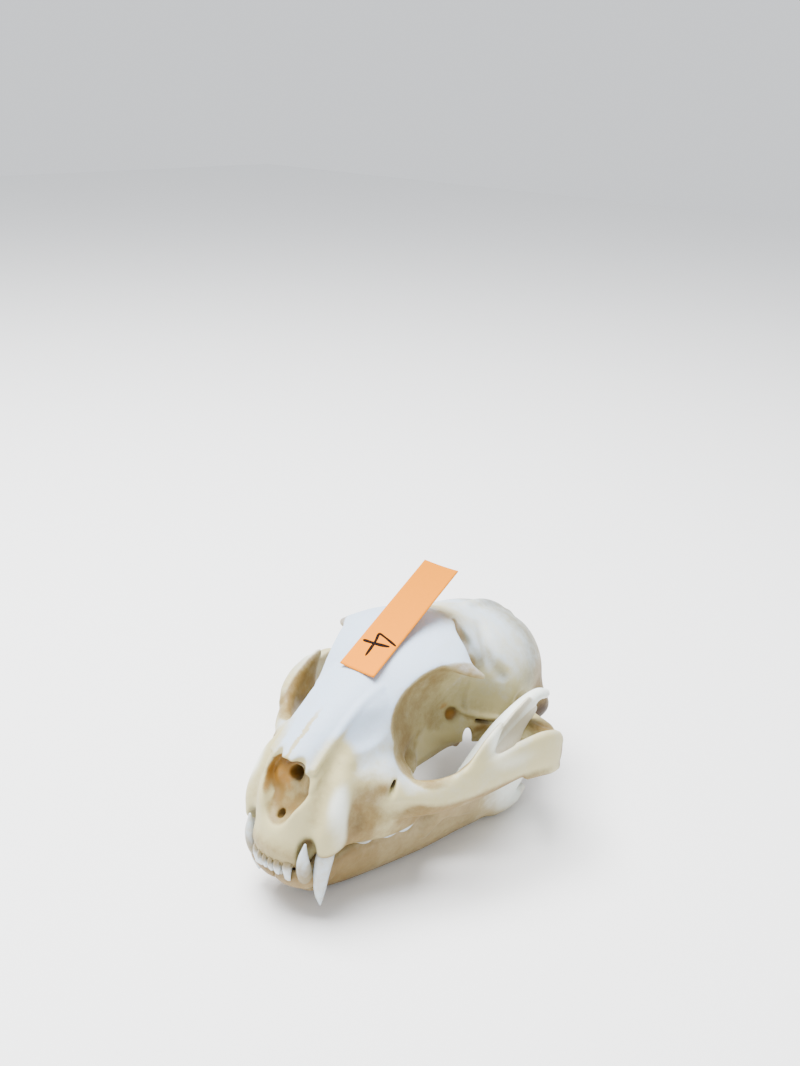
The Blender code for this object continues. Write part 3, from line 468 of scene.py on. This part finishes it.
# Painted deep shade: in crevices, the lower fang's pocket, the nose's hole, the hollow of the cheek, the crease,
# under the skull's base, behind the arch's hind root and in the ear opening.
dark = 1.4 * ease(close, 0.66, 0.95) + under * spots(half, [(0.5, (14.5, 27, 31), (6, 7, 5))])
dark += spots(half, [
    (0.9, (10.6, -54, 27), (3.6, 3.2, 4)), (1.1, (0.5, -46, 44), (2.3, 4, 2.3)),
    (0.58, (18.3, -41, 32), (3.2, 4.4, 6)), (-0.6, (11.8, 12.8, 40.6), (3, 3.4, 3)),
    (0.5, (12.6, 16.4, 67.6), (3.6, 2, 5)), (0.4, (38, 30.5, 37), (5, 3, 5)), (1.0, (25.5, 48, 31), (4, 6, 6))])
ochre = nose * (0.25 + 0.5 * ease(-at[:, 0], -2, 3) * ease(z, 37, 42)) + spots(half, [
    (0.6, (6.4, -53.5, 35.5), (1.2, 3, 3)), (0.85, (11.8, 12.6, 40.6), (2.2, 2.6, 2.2)),
    (0.7, (12, 8.2, 45.9), (2.4, 2.6, 1.8))])
seam = 0.3 * ease(-y, 16, 24) + 0.75 * ease(-y, 34, 44) + spots(at, [(1.6, (0.9, -49, 53), (3, 4, 3))])
paint(cranium, warmth=warmth, pale=pale, grey=grey, tan=tan, dark=dark, ochre=ochre, seam=seam * ease(z, 49, 51))


def new_finish(name):
    """A new material, with a function that adds nodes to it or fills inputs, by name or number, and its shader."""
    material = bpy.data.materials.new(name)
    material.use_nodes = True
    tree = material.node_tree

    def add(kind, settings=None, **inputs):
        node = tree.nodes.new(kind) if isinstance(kind, str) else kind
        for key, value in (settings or {}).items():
            setattr(node, key, value)
        for key, value in inputs.items():
            entry = node.inputs[int(key[1:]) if key[1:].isdigit() else key.replace('_', ' ')]
            if isinstance(value, bpy.types.NodeSocket):
                tree.links.new(value, entry)
            else:
                entry.default_value = value
        return node
    return material, add, tree.nodes["Principled BSDF"]


def bone_finish(name, cool_lit_white, warm, stain, dark, ochre):
    """Bone: lit cool white, made warmer and browner by painted layers of stain, light and shade, broken up by noise.
    """
    material, add, shader = new_finish(name)
    where = add('ShaderNodeTexCoord').outputs['Object']

    def noise(scale, detail, roughness=0.5):
        return add('ShaderNodeTexNoise', Vector=where, Scale=scale, Detail=detail, Roughness=roughness).outputs['Fac']

    def ramp(value, low, high, start=0.0, end=1.0):
        return add('ShaderNodeMapRange', {'interpolation_type': 'SMOOTHSTEP'}, Value=value, From_Min=low,
                   From_Max=high, To_Min=start, To_Max=end).outputs[0]

    def plus(a, b):
        return add('ShaderNodeMath', {'operation': 'ADD'}, i0=a, i1=b).outputs[0]

    def times(a, b):
        return add('ShaderNodeMath', {'operation': 'MULTIPLY'}, i0=a, i1=b).outputs[0]

    def layer(layer_name, uneven=0.0):
        """A painted layer, made uneven by the noise."""
        value = add('ShaderNodeAttribute', {'attribute_name': layer_name}).outputs['Fac']
        return plus(value, times(broken, uneven)) if uneven else value

    def mix(factor, a, b):
        return add('ShaderNodeMix', {'data_type': 'RGBA'}, i0=factor, i6=a, i7=(*b, 1)).outputs[2]

    blotch, patch, speck = noise(38, 4, 0.6), noise(120, 6, 0.65), noise(420, 5, 0.7)
    broken = plus(ramp(patch, 0.25, 0.75, -0.12, 0.12), ramp(speck, 0.25, 0.75, -0.08, 0.08))
    # Painted light and shade: cool white on the lit tops, warm on shaded sides and undersides.
    warmth = plus(layer('warmth', 0.8), ramp(blotch, 0.35, 0.7, -0.12, 0.25))
    colour = mix(ramp(warmth, 0.05, 1.0), (*cool_lit_white, 1), warm)
    # Pale: painted highlights on the cranium's ridges; on the jaw, its lighter blade top and angle.
    colour = mix(ramp(layer('pale', 0.5), 0.1, 1), colour, (0.82, 0.86, 0.78))
    # Painted greyish shade.
    colour = mix(ramp(layer('grey', 0.5), 0.05, 1), colour, (0.17, 0.175, 0.13))
    # Real stain and painted shade, in one brown.
    colour = mix(ramp(layer('tan', 1.0), 0.18, 1.15), colour, stain)
    # Painted deep shade, near black.
    colour = mix(ramp(layer('dark', 0.6), 0.25, 0.95), colour, dark)
    # The seam between the two nasal bones: a band that wanders about x = 0
    across = plus(add('ShaderNodeSeparateXYZ', Vector=where).outputs[0], times(plus(noise(700, 3), -0.5), 0.0022))
    off_seam = add('ShaderNodeMath', {'operation': 'ABSOLUTE'}, i0=across).outputs[0]
    seam = plus(times(layer('seam'), ramp(off_seam, 0.0002, 0.0012, 1, 0)), times(broken, 0.5))
    colour = mix(ramp(seam, 0.2, 1, 0, 0.8), colour, (0.46, 0.37, 0.15))
    colour = mix(ramp(layer('ochre', 1.0), 0.25, 0.95, 0, 0.95), colour, ochre)
    height = plus(plus(times(speck, 0.7), times(patch, 1.6)), times(noise(1500, 3, 0.7), 0.25))
    bump = add('ShaderNodeBump', Strength=0.5, Distance=0.0003, Height=height).outputs[0]
    add(shader, Base_Color=colour, Normal=bump, Roughness=0.48, Specular_IOR_Level=0.22, Subsurface_Weight=0.06,
        Subsurface_Radius=(0.004, 0.002, 0.001), Subsurface_Scale=0.3)
    return material


# A near-black brown paints deep shade; the ochre brown is stain. The cranium's cool white stands for lit tops, its
# warm colour for shade on the sides, its stain colour for stain and painted shade.
deep_shade_brown, ochre_brown = (0.045, 0.022, 0.006), (0.32, 0.15, 0.02)
cranium.data.materials.append(bone_finish("bone_with_stain_and_painted_light", (0.51, 0.62, 0.76), (0.50, 0.445, 0.23),
                                          (0.19, 0.12, 0.036), deep_shade_brown, ochre_brown))
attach(cranium, "root")
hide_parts("braincase", "snout", "cheekbone_left", "cheekbone_right")

# The lower jaw: two bones that meet at the chin, each with a thin upright blade, a roller for the joint and a hook.
# They are drawn like the cranium, then kept clear of it and of each other. They are painted browner, partly
# their own tone and partly painted shade, as they lie low under the cheek arch.
jaw = Bone((0, -64, -2), (44, 48, 56))
# Body with the edge that holds the teeth, chin with the roots of fang and incisors
jaw.add(Strap([(3.5, -49.5, 12.5), (5, -44.5, 10.5), (8, -36, 9.2), (12, -24, 8.6), (15.4, -13.5, 8.4),
               (18.2, -4, 8.4), (20.6, 7, 8.4), (22.9, 15.6, 8.4), (25.2, 25, 8.6)],
              [5, 7.3, 7.9, 7.7, 7.5, 7.5, 7.5, 7.5, 7.1], [3.4, 4, 4, 3.8, 3.6, 3.4, 3.2, 3, 2.6],
              up=(0.36, 0, 0.93)))
jaw.add(Strap([(9.4, -44, 15), (11, -36, 16), (13.6, -26, 16), (16.6, -16, 16.5), (19.5, -7, 18)],
              [3, 3.4, 3.6, 3.6, 3.4], [2.4, 2.6, 2.6, 2.4, 2.2], up=(0.3, 0, 0.95)), 4)
jaw.add(Strap([(7.2, -48, 12), (8.4, -52.6, 16)], [4.2, 3.9]), 4)
jaw.add(Egg((2.5, -53.6, 15), (6, 4, 4), (-20, 0)), 3)
# Blade with its thick front edge
blade_edge = [(26.2, -3, 28), (28.4, 2.8, 36), (30, 12.5, 43), (31.6, 23.5, 47.2), (32.9, 30.5, 48.4),
              (33.6, 34.6, 47.4)]
jaw.add(Strap([(24, 10, 14), (27, 13.5, 24), (29.3, 17, 32), (31.2, 21.5, 39.5), (32.8, 28.2, 46)],
              [18, 16.5, 14.5, 12, 7.6], [2.6, 2, 1.6, 1.3, 1.0], up=(0, 1, 0), per_span=14), 3)
jaw.add(Strap([(20, -11, 13), (23.5, -6.5, 20)] + blade_edge, [2, 2.2, 2.3, 2.3, 2.2, 2.1, 2, 1.6]), 2)
# Hind edge, roller and hook
jaw.add(Strap([(25, 20, 10), (27.2, 27, 14), (29, 31, 21)], [7.5, 7.5, 5], [2.4, 2.2, 2.2], up=(0, -0.8, 0.6)), 4)
jaw.add(Strap([(21.5, 33, 25.8), (29.5, 33.5, 26.2), (37, 32, 26.6)], [2.4, 2.8, 2.3]), 3)
jaw.add(Strap([(24.4, 24, 6), (26, 31, 4.8), (26.6, 37, 6.2)], [3, 2.6, 1.6]), 3)
# Gaps: to the cranium where the two grids overlap, and to the other half at x = 0
skull_gap, chin_gap = 0.5, 0.15
first = np.round((jaw.low - skull.low) / FINE).astype(int)
shared = [slice(max(f, 0), min(f + n, m)) for f, n, m in zip(first, jaw.field.shape, skull.field.shape)]
moved = tuple(slice(s.start - f, s.stop - f) for s, f in zip(shared, first))
jaw.field[moved] = np.maximum(jaw.field[moved], skull_gap - skull.field[tuple(shared)])
jaw.field = np.maximum(jaw.field, chin_gap - jaw.axes[0][:, None, None])
jaw.low = jaw.low - (FINE, 0, 0)
jaw.field = np.concatenate([np.full_like(jaw.field[:1], 1), jaw.field])
jaw_points, jaw_faces = zero_surface(jaw)
jaw_finish = bone_finish("jaw_bone_with_stain_and_painted_shade", (0.78, 0.83, 0.78), (0.42, 0.34, 0.18), (0.20, 0.13, 0.046), deep_shade_brown,
                         ochre_brown)
near_share, wide_share = solid_share(jaw, 1.2), solid_share(jaw, 4)
for side, sign in (("left", 1), ("right", -1)):
    half = make_piece(f"jaw_{side}", jaw_points * (sign, 1, 1), jaw_faces[:, ::sign].tolist(), 120000)
    at = points_of(half) * (sign, 1, 1)
    # Painted light and shade on the jaw: faces turned up lighter, faces turned down warmer.
    up = facing_of(half)[:, 2]
    blade_top = ease(at[:, 2], 27, 38)
    angle = spots(at, [(1.2, (27, 29, 14), (10, 13, 12))])
    off_edge = np.min([((at - row) ** 2).sum(axis=1) for row in curve_through(blade_edge, 8)], axis=0) ** 0.5
    edge = ease(-off_edge, -3.6, -2.4)
    # Stain and painted shade: more towards the front, in hollows and in the notch behind the blade; less where faces
    # turn up.
    tan = 0.70 + 0.35 * ease(-at[:, 1], 22, 40) - 1.1 * edge - 0.6 * blade_top - angle - 0.45 * ease(up, 0.2, 0.8)
    tan += 0.8 * ease(read_grid(jaw, wide_share, at), 0.5, 0.75)
    tan += (1 - edge) * spots(at, [(0.5, (31, 33, 38), (4, 7, 9))])
    # Painted deep shade in crevices and under the cheek arch.
    dark = 1.3 * ease(read_grid(jaw, near_share, at), 0.62, 0.85) + spots(at, [(0.5, (21.5, -12, 19), (5, 7, 3))])
    paint(half, warmth=1.05 - 1.05 * edge - 0.25 * blade_top - angle + 0.4 * ease(-up, 0.1, 0.9),
          pale=0.5 * angle + 0.4 * blade_top, tan=tan, dark=dark)
    half.data.materials.append(jaw_finish)
    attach(half, "root")
    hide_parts(f"lower_jaw_{side}")

# Teeth: dentine under white enamel, stained towards the bone. A fang or incisor tapers along a bent path; a cheek
# tooth is a blade whose crest rises and falls in points. Every root is sunk in its bone.


def peg(path, tall, thick, up=(0, 1, 0), rings=40, sides=32):
    """An ellipse carried along a curve: path(t) + tall(t) cos(a) up + thick(t) sin(a) side, closed at both ends by
    a pole. Gives points, quads and the triangles round the poles."""
    rows = curve_through(np.hstack([np.array(path, float), np.array([tall, thick]).T]), rings // (len(path) - 1))
    centre, ahead = rows[:, :3], np.gradient(rows[:, :3], axis=0)
    ahead /= np.linalg.norm(ahead, axis=1)[:, None]
    up = np.array(up, float) - ahead * (ahead @ np.array(up, float))[:, None]
    up /= np.linalg.norm(up, axis=1)[:, None]
    side = np.cross(ahead, up)
    a = np.linspace(0, 2 * np.pi, sides, endpoint=False)
    ring = (centre[:, None] + rows[:, 3, None, None] * np.cos(a)[None, :, None] * up[:, None]
            + rows[:, 4, None, None] * np.sin(a)[None, :, None] * side[:, None])
    n, i, j = len(rows), np.arange(len(rows) - 1)[:, None] * sides, np.arange(sides)[None, :]
    after = (j + 1) % sides
    quads = np.stack([i + j, i + after, i + sides + after, i + sides + j], axis=-1).reshape(-1, 4)
    j, after, last = j[0], after[0], (n - 1) * sides
    caps = np.concatenate([np.stack([after, j, j * 0 + n * sides], axis=1),
                           np.stack([last + j, last + after, j * 0 + n * sides + 1], axis=1)])
    return np.vstack([ring.reshape(-1, 3), centre[:1], centre[-1:]]), quads, caps


def joined(shapes):
    """One set of points and faces from several: each shape's faces count on from the points before it."""
    starts = np.cumsum([0] + [len(points) for points, *_ in shapes])
    faces = [(part + start).tolist() for shape, start in zip(shapes, starts) for part in shape[1:]]
    return np.vstack([points for points, *_ in shapes]), sum(faces, [])


def blade(peaks, root, width=1.1, count=60, sides=20):
    """A blade along a curve: its section is an ellipse from the root's height down or up to the crest's, and its
    width falls off to both ends as sqrt(1 - (2s - 1)^6)."""
    rows = curve_through([(x, y, (root + tip) / 2, abs(root - tip) / 2) for x, y, tip in peaks],
                         count // (len(peaks) - 1))
    s = np.linspace(0, 1, len(rows))
    round_off = np.sqrt(np.clip(1 - (2 * s - 1) ** 6, 0, 1))
    return peg(rows[:, :3], np.maximum(rows[:, 3], 0.1), np.maximum(width * round_off, 0.15), up=(0, 0, 1),
               rings=len(rows) - 1, sides=sides)


def enamel_finish():
    """Enamel: cool white with creamy streaks, and olive-brown by the painted layer `gum`."""
    material, add, shader = new_finish("enamel")
    where = add('ShaderNodeTexCoord').outputs['Object']
    streak = add('ShaderNodeTexNoise', Vector=where, Scale=400, Detail=4).outputs['Fac']
    creamy = add('ShaderNodeMapRange', Value=streak, From_Min=0.4, From_Max=0.75).outputs[0]
    colour = add('ShaderNodeMix', {'data_type': 'RGBA'}, i0=creamy, i6=(0.52, 0.59, 0.63, 1),
                 i7=(0.47, 0.45, 0.36, 1)).outputs[2]
    gum = add('ShaderNodeAttribute', {'attribute_name': 'gum'}).outputs['Fac']
    stain = add('ShaderNodeMath', {'operation': 'MULTIPLY_ADD'}, i0=streak, i1=0.5, i2=gum).outputs[0]
    stain = add('ShaderNodeMapRange', Value=stain, From_Min=0.45, From_Max=1.2).outputs[0]
    colour = add('ShaderNodeMix', {'data_type': 'RGBA'}, i0=stain, i6=colour, i7=(0.2, 0.155, 0.07, 1)).outputs[2]
    add(shader, Base_Color=colour, Roughness=0.22)
    return material


def tooth_piece(name, shapes, at_bone, at_tips):
    """The left teeth and their mirror images. The layer `gum` runs from 1 at the bone's height to 0 at the tips'."""
    mirrored = [(points * (-1, 1, 1), *(part[:, ::-1] for part in faces)) for points, *faces in shapes]
    points, faces = joined([shape for pair in zip(shapes, mirrored) for shape in pair])
    piece = make_piece(name, points, faces)
    paint(piece, gum=1 - ease((points[:, 2] - at_bone) / (at_tips - at_bone), 0, 1))
    piece.data.materials.append(enamel)
    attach(piece, "root")


enamel = enamel_finish()
fang = peg([(13, -47.5, 30), (13.2, -49.4, 24), (13, -51, 17.5), (12.7, -51.2, 11), (12.4, -50.6, 5.6)],
           [3, 3.2, 2.7, 1.8, 0.3], [2.1, 2.4, 2.2, 1.5, 0.3])
cutters = [peg([(x, y + 3, 24), (x, y + 0.4, 21), (x, y + 0.5, tip)], [1.4, 1.5, 0.5], [w, w, w * 0.7],
               rings=16, sides=20)
           for x, y, w, tip in ((1.1, -59.6, 0.95, 17.8), (3.2, -59.3, 1.05, 17.4), (5.8, -58.0, 1.6, 15.8))]
shears = [blade([(15.6, -40, 24.6), (17, -36, 21.4), (18, -32.4, 22.6)], 28),
          blade([(18.4, -31, 22), (19.4, -27.5, 19.9), (20.3, -24, 20.6), (21, -21.4, 19.4), (21.4, -18.4, 22)], 28)]
tooth_piece("upper_fangs", [fang], 27, 21.5)
tooth_piece("upper_incisors", cutters, 22, 18.6)
tooth_piece("upper_cheek_teeth", shears, 24, 20)
low_fang = peg([(9.2, -51.6, 13), (9.8, -54.6, 18.4), (10.4, -56, 24), (10.9, -55.7, 29.6)],
               [2.5, 2.6, 1.9, 0.3], [2.1, 2.2, 1.6, 0.3])
low_cutters = [peg([(x, y + 2, 14), (x, y, 17), (x, y + 0.3, 19)], [1.2, 1.2, 0.4], [w, w, w * 0.8],
                   rings=16, sides=20)
               for x, y, w in ((1.2, -57.0, 0.9), (3.0, -56.6, 1.0), (4.9, -55.6, 1.1))]
low_shears = [blade([(9.6, -40.4, 18.4), (10.4, -37.4, 21.6), (11.4, -34.4, 18.8)], 14),
              blade([(11.6, -33, 19), (12.6, -29.6, 22.2), (13.8, -26, 19.4)], 14),
              blade([(14.2, -24.6, 19.6), (15.2, -21.4, 22.6), (16.2, -18.2, 20.4), (17, -14.6, 22.4)], 14)]
tooth_piece("lower_fangs", [low_fang], 18.5, 27)
tooth_piece("lower_incisors", low_cutters, 14, 22)
tooth_piece("lower_cheek_teeth", low_shears, 18, 22)

# The strip: a slip of orange paper, stuck to the brow by its front end, so that the rest stands off in a straight
# slope over the case, with a faint curl across its width.
width, length, thick = 13.0, 46.0, 0.35
foot, rise = np.array([0.5, -21.8, 67.1]), np.radians(26.2)


def on_strip(u, v, lift=0.0):
    """A flat sheet turned about x: u runs across it and v up its slope, raised by 0.3 (u / half width)^2."""
    raised = 0.3 * (u / (width / 2)) ** 2 + lift
    slope = [u, v * np.cos(rise) - raised * np.sin(rise), v * np.sin(rise) + raised * np.cos(rise)]
    return foot + np.stack(slope, axis=-1)


def closed_sheet(top, under):
    """Two grids of points, one over the other, with quads on both and between their rims."""
    m, n = top.shape[:2]
    i, j = np.meshgrid(np.arange(m - 1) * n, np.arange(n - 1), indexing='ij')
    quad = np.stack([i + j, i + n + j, i + n + j + 1, i + j + 1], axis=-1).reshape(-1, 4)
    rim = np.concatenate([np.arange(m) * n, (m - 1) * n + np.arange(1, n), np.arange(m - 2, -1, -1) * n + n - 1,
                          np.arange(n - 2, 0, -1)])
    after = np.roll(rim, -1)
    edge = np.stack([rim, rim + m * n, after + m * n, after], axis=1)
    return np.vstack([top.reshape(-1, 3), under.reshape(-1, 3)]), np.vstack([quad, quad[:, ::-1] + m * n, edge])


u, v = np.meshgrid(np.linspace(-width / 2, width / 2, 17), np.linspace(0, length, 60), indexing='ij')
points, faces = closed_sheet(on_strip(u, v, thick), on_strip(u, v))
strip = make_piece("paper_strip", points, faces.tolist())
paper, add, shader = new_finish("orange_paper")
where = add('ShaderNodeTexCoord').outputs['Object']
back = add('ShaderNodeSeparateXYZ', Vector=where).outputs[1]
# The orange is lighter at the strip's lower end and darker at its upper end.
along_strip = add('ShaderNodeMapRange', Value=back, From_Min=-0.024, From_Max=0.018).outputs[0]
fibre = add('ShaderNodeTexNoise', Vector=where, Scale=900, Detail=4).outputs['Fac']
shade = add('ShaderNodeMath', {'operation': 'MULTIPLY_ADD'}, i0=fibre, i1=0.3, i2=along_strip).outputs[0]
shade = add('ShaderNodeMapRange', Value=shade, From_Min=0.1, From_Max=1.2).outputs[0]
tone = add('ShaderNodeMix', {'data_type': 'RGBA'}, i0=shade, i6=(0.80, 0.235, 0.0, 1), i7=(0.58, 0.18, 0.001, 1))
bump = add('ShaderNodeBump', Strength=0.25, Distance=0.0002, Height=fibre)
add(shader, Base_Color=tone.outputs[2], Normal=bump.outputs[0], Roughness=0.9, Specular_IOR_Level=0.0)
strip.data.materials.append(paper)
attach(strip, "root")
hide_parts("number_strip")

# The number: three strokes of brown-black ink, drawn across the strip by hand with a pen. Each lies a hundredth of
# a millimetre higher than the one before, so that they stay apart where they cross.


def stroke(ends, half_width, lift):
    """A flat band along a curve on the strip: its half width is w sqrt(1 - e^8), so that the ends are round."""
    rows = curve_through(ends, 16)
    ahead = np.gradient(rows, axis=0)
    ahead /= np.linalg.norm(ahead, axis=1)[:, None]
    e = np.linspace(-1, 1, len(rows))
    reach = half_width * np.sqrt(np.clip(1 - e ** 8, 0.02, 1)) * (1 + 0.12 * np.sin(5 * e))
    offset = reach[:, None] * np.stack([-ahead[:, 1], ahead[:, 0]], axis=1)
    u, v = np.moveaxis(rows + np.linspace(-1, 1, 5)[:, None, None] * offset, -1, 0)
    return closed_sheet(on_strip(u, v, thick + lift), on_strip(u, v, thick - 0.05))


points, faces = joined([stroke([(-2.3, 14.7), (-1.4, 11.6), (-1.1, 8.6), (-0.9, 5.6)], 0.5, 0.02),
                        stroke([(-2.3, 14.7), (0.6, 14), (3.4, 13.2), (6.0, 12.4)], 0.38, 0.03),
                        stroke([(-5.3, 10.3), (-2.4, 10.6), (1, 11), (4.2, 11.5)], 0.52, 0.04)])
number = make_piece("number", points, faces)
ink, add, shader = new_finish("ink")
add(shader, Base_Color=(0.006, 0.0012, 0.001, 1), Specular_IOR_Level=0.05, Roughness=0.6)
number.data.materials.append(ink)
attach(number, "root")

# The floor: a plain matt pale sheet, 4 m wide, on which the jaw rests
ground = bpy.data.meshes.new("floor")
ground.from_pydata([(-2, -2, 0), (2, -2, 0), (2, 2, 0), (-2, 2, 0)], [], [(0, 1, 2, 3)])
floor = bpy.data.objects.new("floor", ground)
bpy.context.scene.collection.objects.link(floor)
white, add, shader = new_finish("floor")
add(shader, Base_Color=(0.9, 0.9, 0.9, 1), Roughness=0.9)
ground.materials.append(white)

# The light: a bright even sky and one large soft lamp above the animal's right
world = bpy.data.worlds.new("studio")
world.use_nodes = True
world.node_tree.nodes["Background"].inputs[0].default_value = (0.93, 0.96, 1.0, 1)
world.node_tree.nodes["Background"].inputs[1].default_value = 1.1
bpy.context.scene.world = world
lamp = bpy.data.lights.new("key", 'AREA')
lamp.energy, lamp.size = 36, 0.6
holder = bpy.data.objects.new("key", lamp)
bpy.context.scene.collection.objects.link(holder)
holder.location = (-0.2, -0.1, 0.9)
holder.rotation_euler = (Vector((0, 0, 0.04)) - holder.location).to_track_quat('-Z', 'Y').to_euler()

# The photograph's view: turned 36.5 degrees to the animal's left and looking 32 degrees down from 36 cm away, with
# the object low in the picture. The lens is 1100 picture points long where the picture is 800 wide.
swing, drop, reach = np.radians(36.52), np.radians(32.09), 358.5
roll, tilt, pan = np.radians(-2.59), np.radians(-9.59), np.radians(-0.29)
back = np.array([np.sin(swing) * np.cos(drop), -np.cos(swing) * np.cos(drop), np.sin(drop)])
right = np.array([np.cos(swing), np.sin(swing), 0])
axes = np.stack([right, np.cross(back, right), back])
turn_x = np.array([[1, 0, 0], [0, np.cos(tilt), -np.sin(tilt)], [0, np.sin(tilt), np.cos(tilt)]])
turn_y = np.array([[np.cos(pan), 0, np.sin(pan)], [0, 1, 0], [-np.sin(pan), 0, np.cos(pan)]])
turn_z = np.array([[np.cos(roll), -np.sin(roll), 0], [np.sin(roll), np.cos(roll), 0], [0, 0, 1]])
matrix = np.eye(4)
matrix[:3, :3] = (turn_z @ turn_x @ turn_y @ axes).T
matrix[:3, 3] = (np.array([0, 0, 40]) + back * reach + PLACE) * 0.001
lens = bpy.data.cameras.new("camera")
lens.sensor_fit, lens.sensor_width, lens.lens = 'HORIZONTAL', 36, 1100 / 800 * 36
lens.clip_start = 0.01
camera = bpy.data.objects.new("camera", lens)
bpy.context.scene.collection.objects.link(camera)
camera.matrix_world = Matrix(matrix.tolist())
bpy.context.scene.camera = camera
